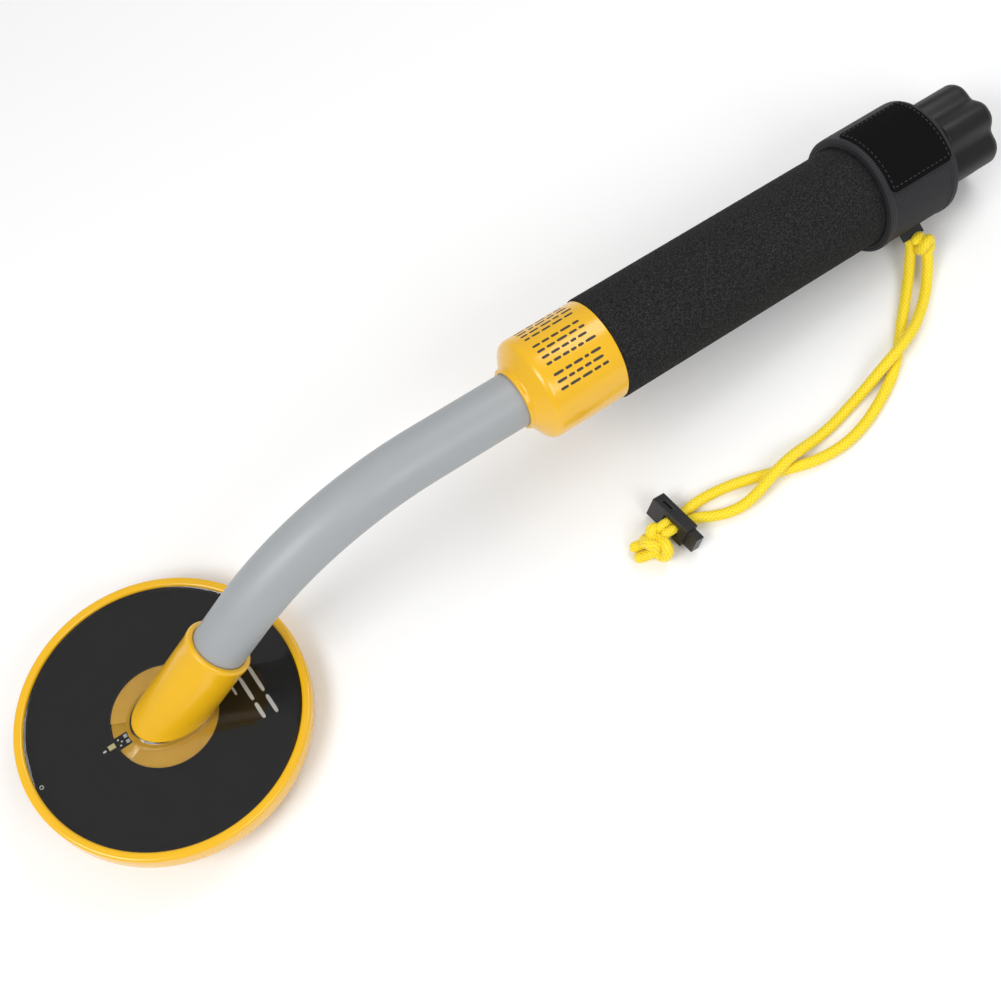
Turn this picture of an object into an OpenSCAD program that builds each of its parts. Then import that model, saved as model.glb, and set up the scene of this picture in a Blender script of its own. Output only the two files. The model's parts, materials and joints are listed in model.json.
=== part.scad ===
// Pinpointer probe: a coil head on a bent pipe, with a battery handle and a wrist lanyard.
// Millimetres. The probe lies as it rests on a table: on the head's lower edge and the strap.
// Origin: on the table, below the middle of the probe. +X runs from the head to the knob.

/* [Search head] */
// Outer diameter of the search head
head_d = 132; // [105:1:160]
// Height of the head at its rim
head_h = 13; // [12.5:0.1:16]
// Width of the rim seen from above
rim_w = 4.3; // [3:0.1:6]
// Rounding of the rim's outer edge
rim_round = 1.6; // [0.5:0.1:2.5]
// Thickness of the head's floor
head_floor = 2.2; // [1.6:0.1:2.8]
// Rounding of the lower outer edge
head_edge_r = 3.5; // [2:0.1:4.5]
// Width of the ledge that carries the board
ledge_w = 1.7; // [1:0.1:3]
// Diameter of the raised ring in the middle
ring_d = 48.4; // [44:0.2:58]
// Diameter of the cable hole in that ring
ring_bore_d = 18; // [14:0.5:20]
// Depth of the resin's surface below the rim
resin_drop = 2.5; // [1.5:0.1:3]
// Thickness of the resin over the board
resin_t = 2; // [1.4:0.1:3]
// Thickness of a circuit board
board_t = 1.6; // [1:0.1:2]
// Inner diameter of the coil winding
winding_in_d = 96; // [60:1:98]
// Radial width of the coil winding
winding_w = 8; // [4:0.5:8]
// Height of the coil winding
winding_h = 3.6; // [2:0.1:3.8]

/* [Stem] */
// Outer diameter of the stem pipe
stem_d = 25; // [20:0.5:30]
// Wall of the stem pipe
stem_wall = 1.9; // [1.2:0.1:3]
// Angle between the stem's lower end and the search face
stem_angle = 45; // [38:1:52]
// Length along the axis from the search face to the bend
stem_rise = 78.5; // [72:0.5:100]
// Radius of the bend at the pipe's axis
bend_r = 133.4; // [105:0.1:165]
// Straight length between the bend and the front cap
neck_gap = 45.5; // [20:0.5:80]
// Wall of the yellow socket around the stem
socket_wall = 2.5; // [2:0.1:4]
// Distance from the head's centre to the stem's axis, at the board's top
foot_x = 4.15; // [3:0.05:5]
// Distance along the axis from the search face to the socket's mouth
socket_len = 56; // [50:0.5:66]
// Height of the stem's lower end above the board, at its lowest point
seat_floor = 1.5; // [0.8:0.1:3]
// Diameter of the cable in the stem
cable_d = 4.4; // [3:0.1:6]

/* [Handle] */
// Outer diameter of the battery tube
tube_d = 40; // [38.5:0.1:48]
// Wall of the battery tube
tube_wall = 2; // [1.2:0.1:2.6]
// Length of the foam grip
grip_len = 182; // [150:1:220]
// Thickness of the foam grip
grip_t = 4.2; // [3:0.1:6]
// Length of the front cap
cap_len = 44; // [38:0.5:54]
// Wall of the front cap around the tube
cap_wall = 3.6; // [2.5:0.1:5]
// Depth of the tube in the front cap
cap_grip = 24; // [18:0.5:26]
// Radius of the front cap's shoulder
cap_round = 4; // [2:0.1:5]
// Height of the ring round the cap's mouth
cap_neck_h = 2; // [1:0.1:3]
// Wall of that ring
cap_neck_w = 1.9; // [1.5:0.1:2.6]
// Diameter of the seal's wire
seal_wire = 1.8; // [1.2:0.1:2.2]
// Width of the strap
strap_w = 41; // [30:0.5:50]
// Length of strap beyond the foam
strap_over = 3; // [1:0.1:3.4]
// Thickness of the strap's inner turn
strap_t = 3.4; // [2:0.1:4]
// Thickness of the strap's outer turn
flap_t = 0.9; // [0.6:0.1:1.5]

/* [Battery plug] */
// Thickness of the plug's flange
flange_t = 3; // [2:0.1:4]
// Depth of the plug's hub in the tube
hub_h = 4; // [3:0.1:6]
// Length of the rubber gasket
gasket_h = 12; // [8:0.5:14]
// Thickness of the clamping disc
disc_h = 8; // [7:0.1:10]
// Diameter of the plug's bolt
bolt_d = 8; // [6:0.5:9]
// Width of the bolt's head across its flats
bolt_head_w = 13; // [11:0.1:15]
// Height of the bolt's head
bolt_head_h = 5; // [4:0.1:6]
// Thread pitch of the bolt
bolt_pitch = 1.25; // [1:0.05:1.5]
// Turns of the knob from tight to loose
knob_turns = 2; // [1:0.5:2.5]
// Diameter of the knob over its lobes
knob_d = 44.8; // [38:0.1:45]
// Length of the knob's lobed part
knob_len = 29; // [26:0.1:36]
// Number of lobes on the knob
knob_lobes = 6; // [5:1:8]
// Depth of the valleys between the lobes
valley_depth = 3.6; // [2:0.1:4.5]
// Rounding of the knob's outer edge
knob_round = 4; // [2:0.1:5]
// Thickness of the washer under the knob
washer_t = 1.5; // [1:0.1:2]

/* [Battery and board] */
// Length of the battery
battery_len = 48.5; // [44:0.5:50]
// Width of the battery
battery_w = 26.5; // [25:0.1:27]
// Height of the battery
battery_h = 17.5; // [16:0.1:18]
// Length of the battery's snap
snap_t = 4.5; // [4:0.1:6]
// Thickness of the foam pad behind the battery
pad_t = 2.5; // [2:0.1:4]
// Space left for the wires between board and snap
wire_gap = 9; // [6:0.5:12]
// Width of the main board
main_board_w = 30; // [28.5:0.5:32]
// Distance of the main board below the tube's axis
main_board_drop = 4; // [3.5:0.1:5]
// Diameter of the vibration motor
motor_d = 10; // [8:0.1:10]
// Length of the vibration motor
motor_len = 12; // [10:0.5:12]
// Diameter of the ball in the tilt switch
ball_d = 4.9; // [4:0.1:5]
// Travel of the ball
ball_travel = 4; // [2:0.1:4]

/* [Cord lock] */
// Thickness of the lock's case, along the cord
lock_t = 7.3; // [6.5:0.1:9]
// Length of the lock's case
lock_len = 22.4; // [22:0.1:28]
// Height of the lock's case
lock_h = 10.3; // [9.5:0.1:13]
// Wall of the lock's case
lock_wall = 1.1; // [0.8:0.1:1.3]
// Travel of the lock's plunger
lock_travel = 2.5; // [1.5:0.1:2.5]
// Length of the plunger outside the case
plunger_out = 5.6; // [4:0.1:8]
// Diameter of the lanyard cord
cord_d = 5.2; // [5:0.1:5.3]

/* [Fits] */
// Gap at glued and moulded-in joints
glue_gap = 0.05; // [0.02:0.01:0.1]
// Radial gap of turning and sliding fits
run_gap = 0.08; // [0.03:0.01:0.1]
// Side gap of loosely fitted inner parts
loose_gap = 0.3; // [0.2:0.05:0.4]

/* [Hidden] */
$fn = 96;
eps = 0.01;
big = 400;

// Search head: heights above the search face
head_r = head_d / 2;
pocket_r = head_r - rim_w;
resin_z = head_h - resin_drop;
board_top = resin_z - resin_t;
board_z = board_top - board_t;
ring_r = ring_d / 2;
tab_in = 17;
tab_w = 6;
led_x = -(ring_r + 1.8);
led_size = [3.2, 2.4, 1.2];
pad_size = [1.6, 1.6, 0.3];
pad_y = 1.4;
lead_d = 1.2;
lead_gap = 2.4;

// Stem: the lower part rises along its own axis from the search face
stem_r = stem_d / 2;
socket_r = stem_r + socket_wall;
stem_seat = (board_top + seat_floor + stem_r * cos(stem_angle)) / sin(stem_angle);
socket_x = foot_x - board_top / tan(stem_angle);
bend_end_x = socket_x + stem_rise * cos(stem_angle) + bend_r * sin(stem_angle);
handle_z = stem_rise * sin(stem_angle) + bend_r * (1 - cos(stem_angle));
cable_start = 8.5;

// Handle: places along its axis, from the end of the bend
tube_r = tube_d / 2;
bore_r = tube_r - tube_wall;
cap_r = tube_r + cap_wall;
grip_r = tube_r + grip_t;
cap_z = neck_gap;
cap_end = cap_z + cap_len;
tube_z = cap_end - cap_grip;
stem_end = tube_z + 3;
shoulder_z = 10;
neck_r = stem_r + glue_gap + cap_neck_w;
grip_end = cap_end + grip_len;
tube_end = grip_end + 1;
strap_end = grip_end + strap_over;
strap_start = strap_end - strap_w;
band_r = grip_r + strap_t;
flap_r = band_r + flap_t;
flap_inset = 0.5;
flap_from = -20;
flap_span = 246;
tab_turn = 300;
tab_reach = band_r + 4;

// Battery plug, from the tube's mouth inwards and outwards
clamp_travel = bolt_pitch * knob_turns;
hub_r = bore_r - 2 * run_gap;
gasket_z = tube_end - hub_h - gasket_h;
disc_z = gasket_z - disc_h;
washer_z = tube_end + flange_t;
knob_z = washer_z + washer_t + 0.1;
knob_collar = 1.4;
knob_r = knob_d / 2;
valley_r = 6.5;
lobe_turn = 25;
nut_r = 7;
nut_len = 16;
bolt_end = knob_z + 22;

// Battery and board
battery_end = disc_z - clamp_travel - 0.5 - pad_t;
battery_z = battery_end - battery_len;
snap_z = battery_z - snap_t;
main_z = cap_end + 6;
main_end = snap_z - wire_gap;
cable_end = main_z + 7;
stud_h = 3;
small_stud_r = 2.9;
large_stud_r = 3.9;
stud_y = 6.35;
snap_h = 16;
snap_w = 25;
// Each chip: place along the board, place across it, length, width, height
chips = [[18, -4, 9, 5, 1.6], [36, 4, 5, 7, 1.8], [8, -12.5, 6, 5, 1.4]];
capacitor_r = 3;
capacitor_h = 8;
connector_size = [7, 8, 8];
lead_wire_d = 1.6;
holder_t = 4;
motor_z = main_z + 17;
motor_y = 7;
shaft_r = 0.8;
shaft_z = motor_z + 3;
weight_r = motor_d / 2 - 0.5;
weight_z = motor_z + motor_len + 1;
weight_len = 5;
motor_x = main_board_drop - motor_d / 2 - 0.4;
ball_r = ball_d / 2;
can_wall = 0.9;
can_r = ball_r + run_gap + can_wall;
can_len = ball_travel + ball_d + 2 * can_wall + 0.1;
can_y = -8;
can_x = main_board_drop - can_r - 0.4;

// Cord lock, in its own frame: X along the cord, +Y to its closed end
lock_pos = [34.5, -64, 6.5];
lock_tip = 30;
lock_turn = 5;
squeezed_d = 4.4;
hole_w = 2 * squeezed_d + 0.4;
hole_y = -2.2;
spring_gap = lock_travel + 0.3;
pocket_h = 4;
slide_gap = 0.1;
wire_d = 0.5;
spring_turns = 4;

// How the probe lies: the head's lower edge and the strap's far lower edge touch the table
edge_x = head_r - head_edge_r;
rest_x = bend_end_x + strap_end - flap_inset - edge_x;
rest_z = handle_z - flap_r - head_edge_r;
tilt = atan(rest_z / rest_x) + asin(head_edge_r / norm([rest_x, rest_z]));
lift = edge_x * sin(tilt) - head_edge_r * cos(tilt) + head_edge_r;
left_x = -edge_x * cos(tilt) + head_edge_r * sin(tilt) - head_edge_r;
knob_end_x = bend_end_x + knob_z + knob_collar + knob_len - knob_round;
right_x = knob_end_x * cos(tilt) + (handle_z + knob_r - knob_round) * sin(tilt) + knob_round;
middle_x = (left_x + right_x) / 2;

// The lanyard is drawn for one place of the tab's outer end. It moves with that end along the
// table, and only its first few points rise or sink with it.
tab_home = [206.28, -27.37, 16.13];
tab_x = bend_end_x + strap_start + strap_w / 2;
tab_z = handle_z - tab_reach * cos(tab_turn);
tab_end = [tab_x * cos(tilt) + tab_z * sin(tilt) - middle_x, tab_reach * sin(tab_turn),
    tab_z * cos(tilt) - tab_x * sin(tilt) + lift];
lanyard_move = tab_end - tab_home;
lock_place = lock_pos + [lanyard_move[0], lanyard_move[1], 0];

// Routes of the two lanyard strands on the table, from the strap's knot to the end knot
strand_a = [[210, -32, 11], [207, -37.5, 6.6], [202, -43, 3.9], [195.5, -49, 3], [187.5, -54.6, 3.9],
    [180, -59, 5.9], [172.5, -62.2, 7.7], [165, -64.4, 8.1], [157, -66, 7.6], [149, -67.4, 5.4],
    [141, -68.8, 3.4], [131, -70.6, 2.7], [121, -72.4, 2.7], [111, -73.4, 3.4], [103.5, -73.8, 5.2],
    [96, -74.2, 7.2], [88, -75.2, 8.1], [80, -76.6, 7.4], [72, -77.8, 5.2], [64, -77.8, 3.3],
    [56.5, -76, 2.8], [50, -72.8, 2.7], [44.8, -69.6, 2.8], [39.2, -68.1, 4], [34.9, -68.5, 6.5],
    [30.6, -68.9, 9], [25.5, -68.4, 9.2]];
strand_b = [[204.5, -28, 11], [201, -32, 7], [196.5, -36.6, 4], [191, -41.6, 2.8], [184.5, -47.4, 2.7],
    [177.5, -53.4, 2.7], [171, -59.4, 2.7], [164, -65.4, 2.7], [157, -70.6, 2.7], [149, -74.8, 2.7],
    [140, -78.6, 2.7], [131, -81.4, 2.7], [122, -83, 2.7], [113, -83, 2.7], [104, -81.4, 2.7],
    [96, -78.8, 2.7], [88, -75.4, 2.7], [80, -71.8, 2.7], [72, -68.6, 2.7], [64, -66, 2.7],
    [56, -64.2, 2.7], [49.5, -63.4, 2.7], [44.3, -63.4, 2.7], [38.9, -63.7, 4], [34.6, -64.1, 6.5],
    [30.3, -64.5, 9], [25, -64.6, 9.2]];

// ---------- frames ----------

// The head's frame, with the search face at z = 0, laid down at rest
module laid() {
    translate([-middle_x, 0, lift]) rotate([0, tilt, 0]) children();
}

// Z runs up the lower stem's axis, from the search face
module on_stem(along = 0) {
    laid() translate([socket_x, 0, 0]) rotate([0, 90 - stem_angle, 0]) translate([0, 0, along])
        children();
}

// Z runs along the handle from the end of the bend, X points down
module on_handle(along = 0) {
    laid() translate([bend_end_x, 0, handle_z]) rotate([0, 90, 0]) translate([0, 0, along])
        children();
}

module on_lock() {
    translate(lock_place) rotate([0, lock_tip, lock_turn]) children();
}

// A strand's route, moved with the tab: its height follows less and less over the first points
function moved(route) = [for (i = [0:len(route) - 1])
    route[i] + [lanyard_move[0], lanyard_move[1], lanyard_move[2] * max(0, 1 - i / 4)]];

// ---------- shared shapes ----------

// A turned solid with a round lower and upper edge
module turned(r, h, low, high) {
    rotate_extrude() {
        square([r - max(low, high), h]);
        translate([0, low]) square([r, h - low - high]);
        square([r - low, h / 2]);
        translate([0, h / 2]) square([r - high, h / 2]);
        translate([r - low, low]) circle(low);
        translate([r - high, h - high]) circle(high);
    }
}

module ring(r_out, r_in, h) {
    difference() {
        cylinder(r = r_out, h = h);
        translate([0, 0, -1]) cylinder(r = r_in, h = h + 2);
    }
}

// A part of a ring, from one angle through a span
module ring_part(r_out, r_in, h, from, span) {
    rotate([0, 0, from]) rotate_extrude(angle = span) translate([r_in, 0])
        square([r_out - r_in, h]);
}

// A rod with round ends between two points
module capsule(a, b, r) {
    way = b - a;
    flat = norm([way[0], way[1]]);
    translate(a) rotate([0, atan2(flat, way[2]), atan2(way[1], way[0])]) {
        cylinder(r = r, h = norm(way));
        sphere(r);
        translate([0, 0, norm(way)]) sphere(r);
    }
}

function unit(v) = v / norm(v);
function heading(path, i) =
    unit(path[min(i + 1, len(path) - 1)] - path[max(i - 1, 0)]);
function hoop(centre, way, up, r, sides) =
    let (side = unit(cross(way, up)), top = cross(side, way))
    [for (k = [0:sides - 1])
        centre + r * (cos(360 * k / sides) * side + sin(360 * k / sides) * top)];

// A round tube swept along a path, one hoop at each point
module tube(path, radii, up, sides) {
    n = len(path);
    hoops = [for (i = [0:n - 1]) each hoop(path[i], heading(path, i), up, radii[i], sides)];
    walls = [for (i = [0:n - 2], k = [0:sides - 1])
        let (next = (k + 1) % sides)
        [i * sides + k, (i + 1) * sides + k, (i + 1) * sides + next, i * sides + next]];
    ends = [[for (k = [0:sides - 1]) k],
        [for (k = [sides - 1:-1:0]) (n - 1) * sides + k]];
    polyhedron(points = hoops, faces = concat(walls, ends));
}

// ---------- search head ----------

module coil_dish() {
    color("gold") laid() {
        difference() {
            turned(head_r, head_h, head_edge_r, rim_round);
            translate([0, 0, head_floor]) cylinder(r = pocket_r - ledge_w, h = head_h);
            translate([0, 0, board_z]) cylinder(r = pocket_r, h = head_h);
        }
        difference() {
            translate([0, 0, head_floor - eps]) cylinder(r = ring_r, h = board_top - head_floor + eps);
            translate([0, 0, head_floor]) cylinder(d = ring_bore_d, h = head_h);
            translate([-ring_r - 1, -tab_w / 2 - loose_gap, board_z - loose_gap])
                cube([ring_r + 1 - tab_in + loose_gap, tab_w + 2 * loose_gap, head_h]);
            translate([-lead_gap, 0, head_floor]) cube([2 * lead_gap, ring_r + 1, 2 * lead_gap]);
        }
    }
}

module stem_socket() {
    color("gold") on_stem() difference() {
        cylinder(r = socket_r, h = socket_len);
        rotate([0, stem_angle - 90, 0]) translate([-big / 2, -big / 2, board_top - big])
            cube(big);
        translate([0, 0, -1]) cylinder(d = ring_bore_d, h = socket_len + 2);
        translate([0, 0, stem_seat]) cylinder(r = stem_r + glue_gap, h = socket_len);
    }
}

module coil_winding() {
    color("chocolate") laid() translate([0, 0, head_floor])
        ring(winding_in_d / 2 + winding_w, winding_in_d / 2, winding_h);
}

module coil_leads() {
    start = sqrt(pow(winding_in_d / 2, 2) - pow((lead_gap + lead_d) / 2, 2));
    color("chocolate") laid() for (side = [-1, 1])
        translate([side * lead_gap / 2, start, head_floor + lead_gap])
            rotate([90, 0, 0]) cylinder(d = lead_d, h = start - cable_d);
}

module coil_board() {
    color([0.1, 0.1, 0.11]) laid() translate([0, 0, board_z]) {
        ring(pocket_r - 2 * glue_gap, ring_r + glue_gap, board_t);
        translate([-ring_r - 0.5, -tab_w / 2, 0]) cube([ring_r + 0.5 - tab_in, tab_w, board_t]);
    }
}

module indicator_led() {
    color("lightyellow") laid()
        translate([led_x - led_size[0] / 2, -led_size[1] / 2, board_top]) cube(led_size);
}

module solder_pads() {
    color("white") laid() for (side = [-1, 1])
        translate([-tab_in - 1 - pad_size[0], side * pad_y - pad_size[1] / 2, board_top])
            cube(pad_size);
}

module potting_resin() {
    color([0.15, 0.15, 0.17, 0.5]) difference() {
        laid() translate([0, 0, board_top]) cylinder(r = pocket_r - glue_gap, h = resin_t);
        on_stem() cylinder(r = socket_r, h = socket_len);
        indicator_led();
        solder_pads();
    }
}

// ---------- stem ----------

// A round bar of radius r along the stem's axis, from a place on the lower straight
module stem_bar(r, from, to) {
    on_stem(from) cylinder(r = r, h = stem_rise - from);
    laid() translate([bend_end_x, 0, handle_z - bend_r]) rotate([90, 0, 0])
        rotate([0, 0, 90]) rotate_extrude(angle = stem_angle) translate([bend_r, 0]) circle(r);
    on_handle() cylinder(r = r, h = to);
}

module stem_tube() {
    color("darkgray") difference() {
        stem_bar(stem_r, stem_seat, stem_end);
        stem_bar(stem_r - stem_wall, stem_seat, stem_end);
        on_stem(stem_seat - 1) cylinder(r = stem_r - stem_wall, h = 2);
        on_handle(stem_end - 1) cylinder(r = stem_r - stem_wall, h = 2);
    }
}

module coil_cable() {
    color("dimgray") stem_bar(cable_d / 2, cable_start, cable_end);
}

// ---------- handle ----------

// Half outline of the cap: a mouth ring, a flare that runs into the round shoulder, the skirt
module cap_outline() {
    reach = [cap_r - cap_round - neck_r, shoulder_z - cap_neck_h];
    flare = atan2(reach[1], reach[0]) - asin(cap_round / norm(reach));
    flare_len = sqrt(norm(reach) * norm(reach) - cap_round * cap_round);
    polygon([[0, 0], [neck_r, 0], [neck_r, cap_neck_h],
        [neck_r + flare_len * cos(flare), cap_neck_h + flare_len * sin(flare)],
        [cap_r - cap_round, shoulder_z], [0, shoulder_z]]);
    translate([cap_r - cap_round, shoulder_z]) circle(cap_round);
    translate([0, shoulder_z]) square([cap_r, cap_len - shoulder_z]);
}

module front_cap() {
    web = cap_len - cap_grip;
    color("gold") on_handle(cap_z) difference() {
        rotate_extrude() cap_outline();
        translate([0, 0, -1]) cylinder(r = stem_r + glue_gap, h = cap_len);
        translate([0, 0, web]) cylinder(r = tube_r + glue_gap, h = cap_len);
        translate([0, 0, web - 8]) difference() {
            cylinder(r = tube_r - 2, h = 9);
            cylinder(r = stem_r + 2.5, h = 9);
        }
        translate([0, 0, web / 2]) cylinder(r = stem_r + glue_gap + seal_wire, h = seal_wire * 1.2);
    }
}

module stem_seal() {
    color("black") on_handle(cap_z + (cap_len - cap_grip) / 2 + seal_wire * 0.6) rotate_extrude()
        translate([stem_r + seal_wire / 2, 0]) circle(d = seal_wire);
}

module handle_pipe() {
    color("gainsboro") on_handle(tube_z) ring(tube_r, bore_r, tube_end - tube_z);
}

module foam_grip() {
    color([0.12, 0.12, 0.12]) on_handle(cap_end) ring(grip_r, tube_r, grip_len);
}

module strap_band() {
    color([0.16, 0.16, 0.17]) on_handle(strap_start) ring(band_r, grip_r, strap_w);
}

module strap_flap() {
    color([0.1, 0.1, 0.1]) on_handle(strap_start + flap_inset)
        ring_part(flap_r, band_r, strap_w - 2 * flap_inset, flap_from, flap_span);
}

module lanyard_tab() {
    color([0.14, 0.14, 0.14]) on_handle(strap_start + strap_w / 2) rotate([0, 0, tab_turn])
        translate([band_r - 0.3, -0.8, -6]) cube([tab_reach - band_r + 0.3, 1.6, 12]);
}

module board_holders() {
    color("dimgray") for (z = [main_z + 1.5, main_end - 3 * holder_t]) on_handle(z) difference() {
        cylinder(r = bore_r - loose_gap, h = holder_t);
        translate([main_board_drop, -main_board_w / 2, -1]) cube([board_t, main_board_w, holder_t + 2]);
        translate([0, 0, -1]) cylinder(d = cable_d + loose_gap, h = holder_t + 2);
        translate([main_board_drop - 6, -5, -1]) cube([6, 10, holder_t + 2]);
    }
}

module main_board() {
    color("seagreen") on_handle(main_z) translate([main_board_drop, -main_board_w / 2, 0])
        cube([board_t, main_board_w, main_end - main_z]);
}

module board_chips() {
    color([0.15, 0.15, 0.15]) for (c = chips) on_handle(main_z + c[0])
        translate([main_board_drop - c[4], c[1], 0]) cube([c[4], c[3], c[2]]);
}

module board_capacitors() {
    color("navy") on_handle(main_z + 33) for (y = [-10.5, -3])
        translate([main_board_drop - capacitor_h, y, 0]) rotate([0, 90, 0])
            cylinder(r = capacitor_r, h = capacitor_h);
}

module cable_connector() {
    color("ivory") on_handle(cable_end)
        translate([main_board_drop - connector_size[0], -connector_size[1] / 2, 0]) cube(connector_size);
}

module vibration_motor() {
    color("silver") on_handle(motor_z) translate([motor_x, motor_y, 0]) difference() {
        cylinder(d = motor_d, h = motor_len);
        translate([0, 0, 2]) cylinder(r = shaft_r + run_gap, h = motor_len);
    }
}

module motor_cradle() {
    color("black") on_handle(motor_z + 2) difference() {
        translate([motor_x + 2, motor_y - motor_d / 2, 0])
            cube([main_board_drop - motor_x - 2, motor_d, motor_len - 4]);
        translate([motor_x, motor_y, -1]) cylinder(d = motor_d, h = motor_len);
    }
}

module motor_weight() {
    color("gray") on_handle(weight_z) translate([motor_x, motor_y, 0]) {
        difference() {
            cylinder(r = weight_r, h = weight_len);
            translate([-weight_r - 2 * shaft_r - 1, -weight_r - 1, -1])
                cube([weight_r + 1, motor_d + 2, weight_len + 2]);
        }
        translate([0, 0, shaft_z - weight_z]) cylinder(r = shaft_r, h = weight_z + weight_len - shaft_z);
    }
}

module tilt_switch() {
    color("lightsteelblue") on_handle(motor_z) {
        difference() {
            translate([can_x, can_y, 0]) cylinder(r = can_r, h = can_len);
            translate([can_x, can_y, can_wall])
                cylinder(r = ball_r + run_gap, h = can_len - 2 * can_wall);
        }
        difference() {
            translate([can_x + 1, can_y - can_r, 2])
                cube([main_board_drop - can_x - 1, 2 * can_r, can_len - 4]);
            translate([can_x, can_y, 1]) cylinder(r = can_r - can_wall / 2, h = can_len - 2);
        }
    }
}

module tilt_ball() {
    color("gold") on_handle(motor_z + can_len - can_wall - 0.05 - ball_r)
        translate([can_x, can_y, 0]) sphere(ball_r);
}

module battery() {
    color([0.2, 0.2, 0.22]) on_handle(battery_z) {
        translate([-battery_h / 2, -battery_w / 2, 0]) cube([battery_h, battery_w, battery_len]);
        translate([0, -stud_y, -stud_h]) cylinder(r = small_stud_r, h = stud_h + eps);
        translate([0, stud_y, -stud_h]) cylinder(r = large_stud_r, h = stud_h + eps);
    }
}

module battery_snap() {
    color("black") on_handle(snap_z) difference() {
        translate([-snap_h / 2, -snap_w / 2, 0]) cube([snap_h, snap_w, snap_t]);
        translate([0, -stud_y, snap_t - stud_h]) cylinder(r = small_stud_r + glue_gap, h = stud_h + 1);
        translate([0, stud_y, snap_t - stud_h]) cylinder(r = large_stud_r + glue_gap, h = stud_h + 1);
    }
}

module battery_leads() {
    color("red") on_handle(main_end - 6) for (y = [-3, 3])
        translate([main_board_drop - lead_wire_d / 2, y, 0])
            cylinder(d = lead_wire_d, h = snap_z - main_end + 6);
}

module battery_pad() {
    color("dimgray") on_handle(battery_end) cylinder(r = bore_r - 2 * loose_gap, h = pad_t);
}

// ---------- battery plug ----------

module plug_cap() {
    color([0.12, 0.12, 0.12]) on_handle(tube_end) difference() {
        union() {
            cylinder(r = tube_r, h = flange_t);
            translate([0, 0, -hub_h]) cylinder(r = hub_r, h = hub_h + eps);
        }
        translate([0, 0, -hub_h - 1]) cylinder(r = bolt_d / 2 + run_gap, h = hub_h + flange_t + 2);
    }
}

module plug_gasket() {
    color([0.05, 0.05, 0.05]) on_handle(gasket_z)
        ring(bore_r - run_gap, bolt_d / 2 + run_gap, gasket_h);
}

// The bolt's head, or with a gap its pocket
module head_hex(gap, h) {
    cylinder(r = bolt_head_w / 2 / cos(30) + gap, h = h, $fn = 6);
}

module plug_disc() {
    color([0.3, 0.3, 0.3]) on_handle(disc_z) difference() {
        cylinder(r = hub_r - run_gap, h = disc_h);
        translate([0, 0, -1]) cylinder(r = bolt_d / 2 + glue_gap, h = disc_h + 2);
        translate([0, 0, -1]) head_hex(glue_gap, bolt_head_h + 1);
    }
}

module plug_bolt() {
    color("silver") on_handle(disc_z) {
        head_hex(0, bolt_head_h);
        cylinder(d = bolt_d, h = bolt_end - disc_z);
    }
}

module knob_washer() {
    color("silver") on_handle(washer_z) ring(11, bolt_d / 2 + run_gap, washer_t);
}

module knob() {
    color([0.1, 0.1, 0.1]) on_handle(knob_z) difference() {
        union() {
            cylinder(r = 15, h = knob_collar + 1);
            translate([0, 0, knob_collar]) difference() {
                turned(knob_r, knob_len, 1.5, knob_round);
                for (i = [0:knob_lobes - 1])
                    rotate([0, 0, lobe_turn + 180 / knob_lobes + i * 360 / knob_lobes])
                        translate([knob_r - valley_depth + valley_r, 0, -1])
                            cylinder(r = valley_r, h = knob_len + 2);
            }
        }
        translate([0, 0, -1]) cylinder(r = nut_r + glue_gap, h = nut_len + 1);
        translate([0, 0, nut_len - 1])
            cylinder(r = bolt_d / 2 + loose_gap, h = bolt_end - knob_z - nut_len + 2);
    }
}

module knob_nut() {
    color("goldenrod") on_handle(knob_z) ring(nut_r, bolt_d / 2 + run_gap, nut_len);
}

// ---------- lanyard ----------

// The cord is squeezed where it passes through the lock
function strand_radii(route) =
    [for (p = route) norm(p - lock_place) < lock_t + 1 ? squeezed_d / 2 : cord_d / 2];

module strand(route) {
    color("yellow") tube(route, strand_radii(route), [0, 0, 1], 10);
}

module lanyard_strand_a() {
    strand(moved(strand_a));
}

module lanyard_strand_b() {
    strand(moved(strand_b));
}

module strap_knot() {
    color("yellow") translate(lanyard_move) capsule([205.6, -28.4, 14], [210.6, -35.6, 13.4], 5.2);
}

module end_knot() {
    color("yellow") translate([lanyard_move[0], lanyard_move[1], 0]) {
        capsule([22.6, -63.6, 6.4], [23.4, -72.6, 6.4], 6.2);
        capsule([20, -64.6, 3.4], [13.6, -62.8, 2.7], 2.6);
        capsule([19, -69.8, 3.4], [12, -67.8, 2.7], 2.6);
    }
}

module cord_lock_case() {
    bay = [lock_t - 2 * lock_wall, lock_len - lock_wall, lock_h - 2 * lock_wall];
    color([0.13, 0.13, 0.14]) on_lock() difference() {
        translate([-lock_t / 2, -lock_len / 2, -lock_h / 2]) cube([lock_t, lock_len, lock_h]);
        translate([-bay[0] / 2, -lock_len / 2 - 1, -bay[2] / 2]) cube([bay[0], bay[1] + 1, bay[2]]);
        translate([-lock_t, hole_y - hole_w / 2, -squeezed_d / 2 - 0.2])
            cube([2 * lock_t, hole_w, squeezed_d + 0.4]);
        translate([-0.9, lock_len / 2 - 10.3, 0]) cube([1.8, 6.6, lock_h]);
    }
}

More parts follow.
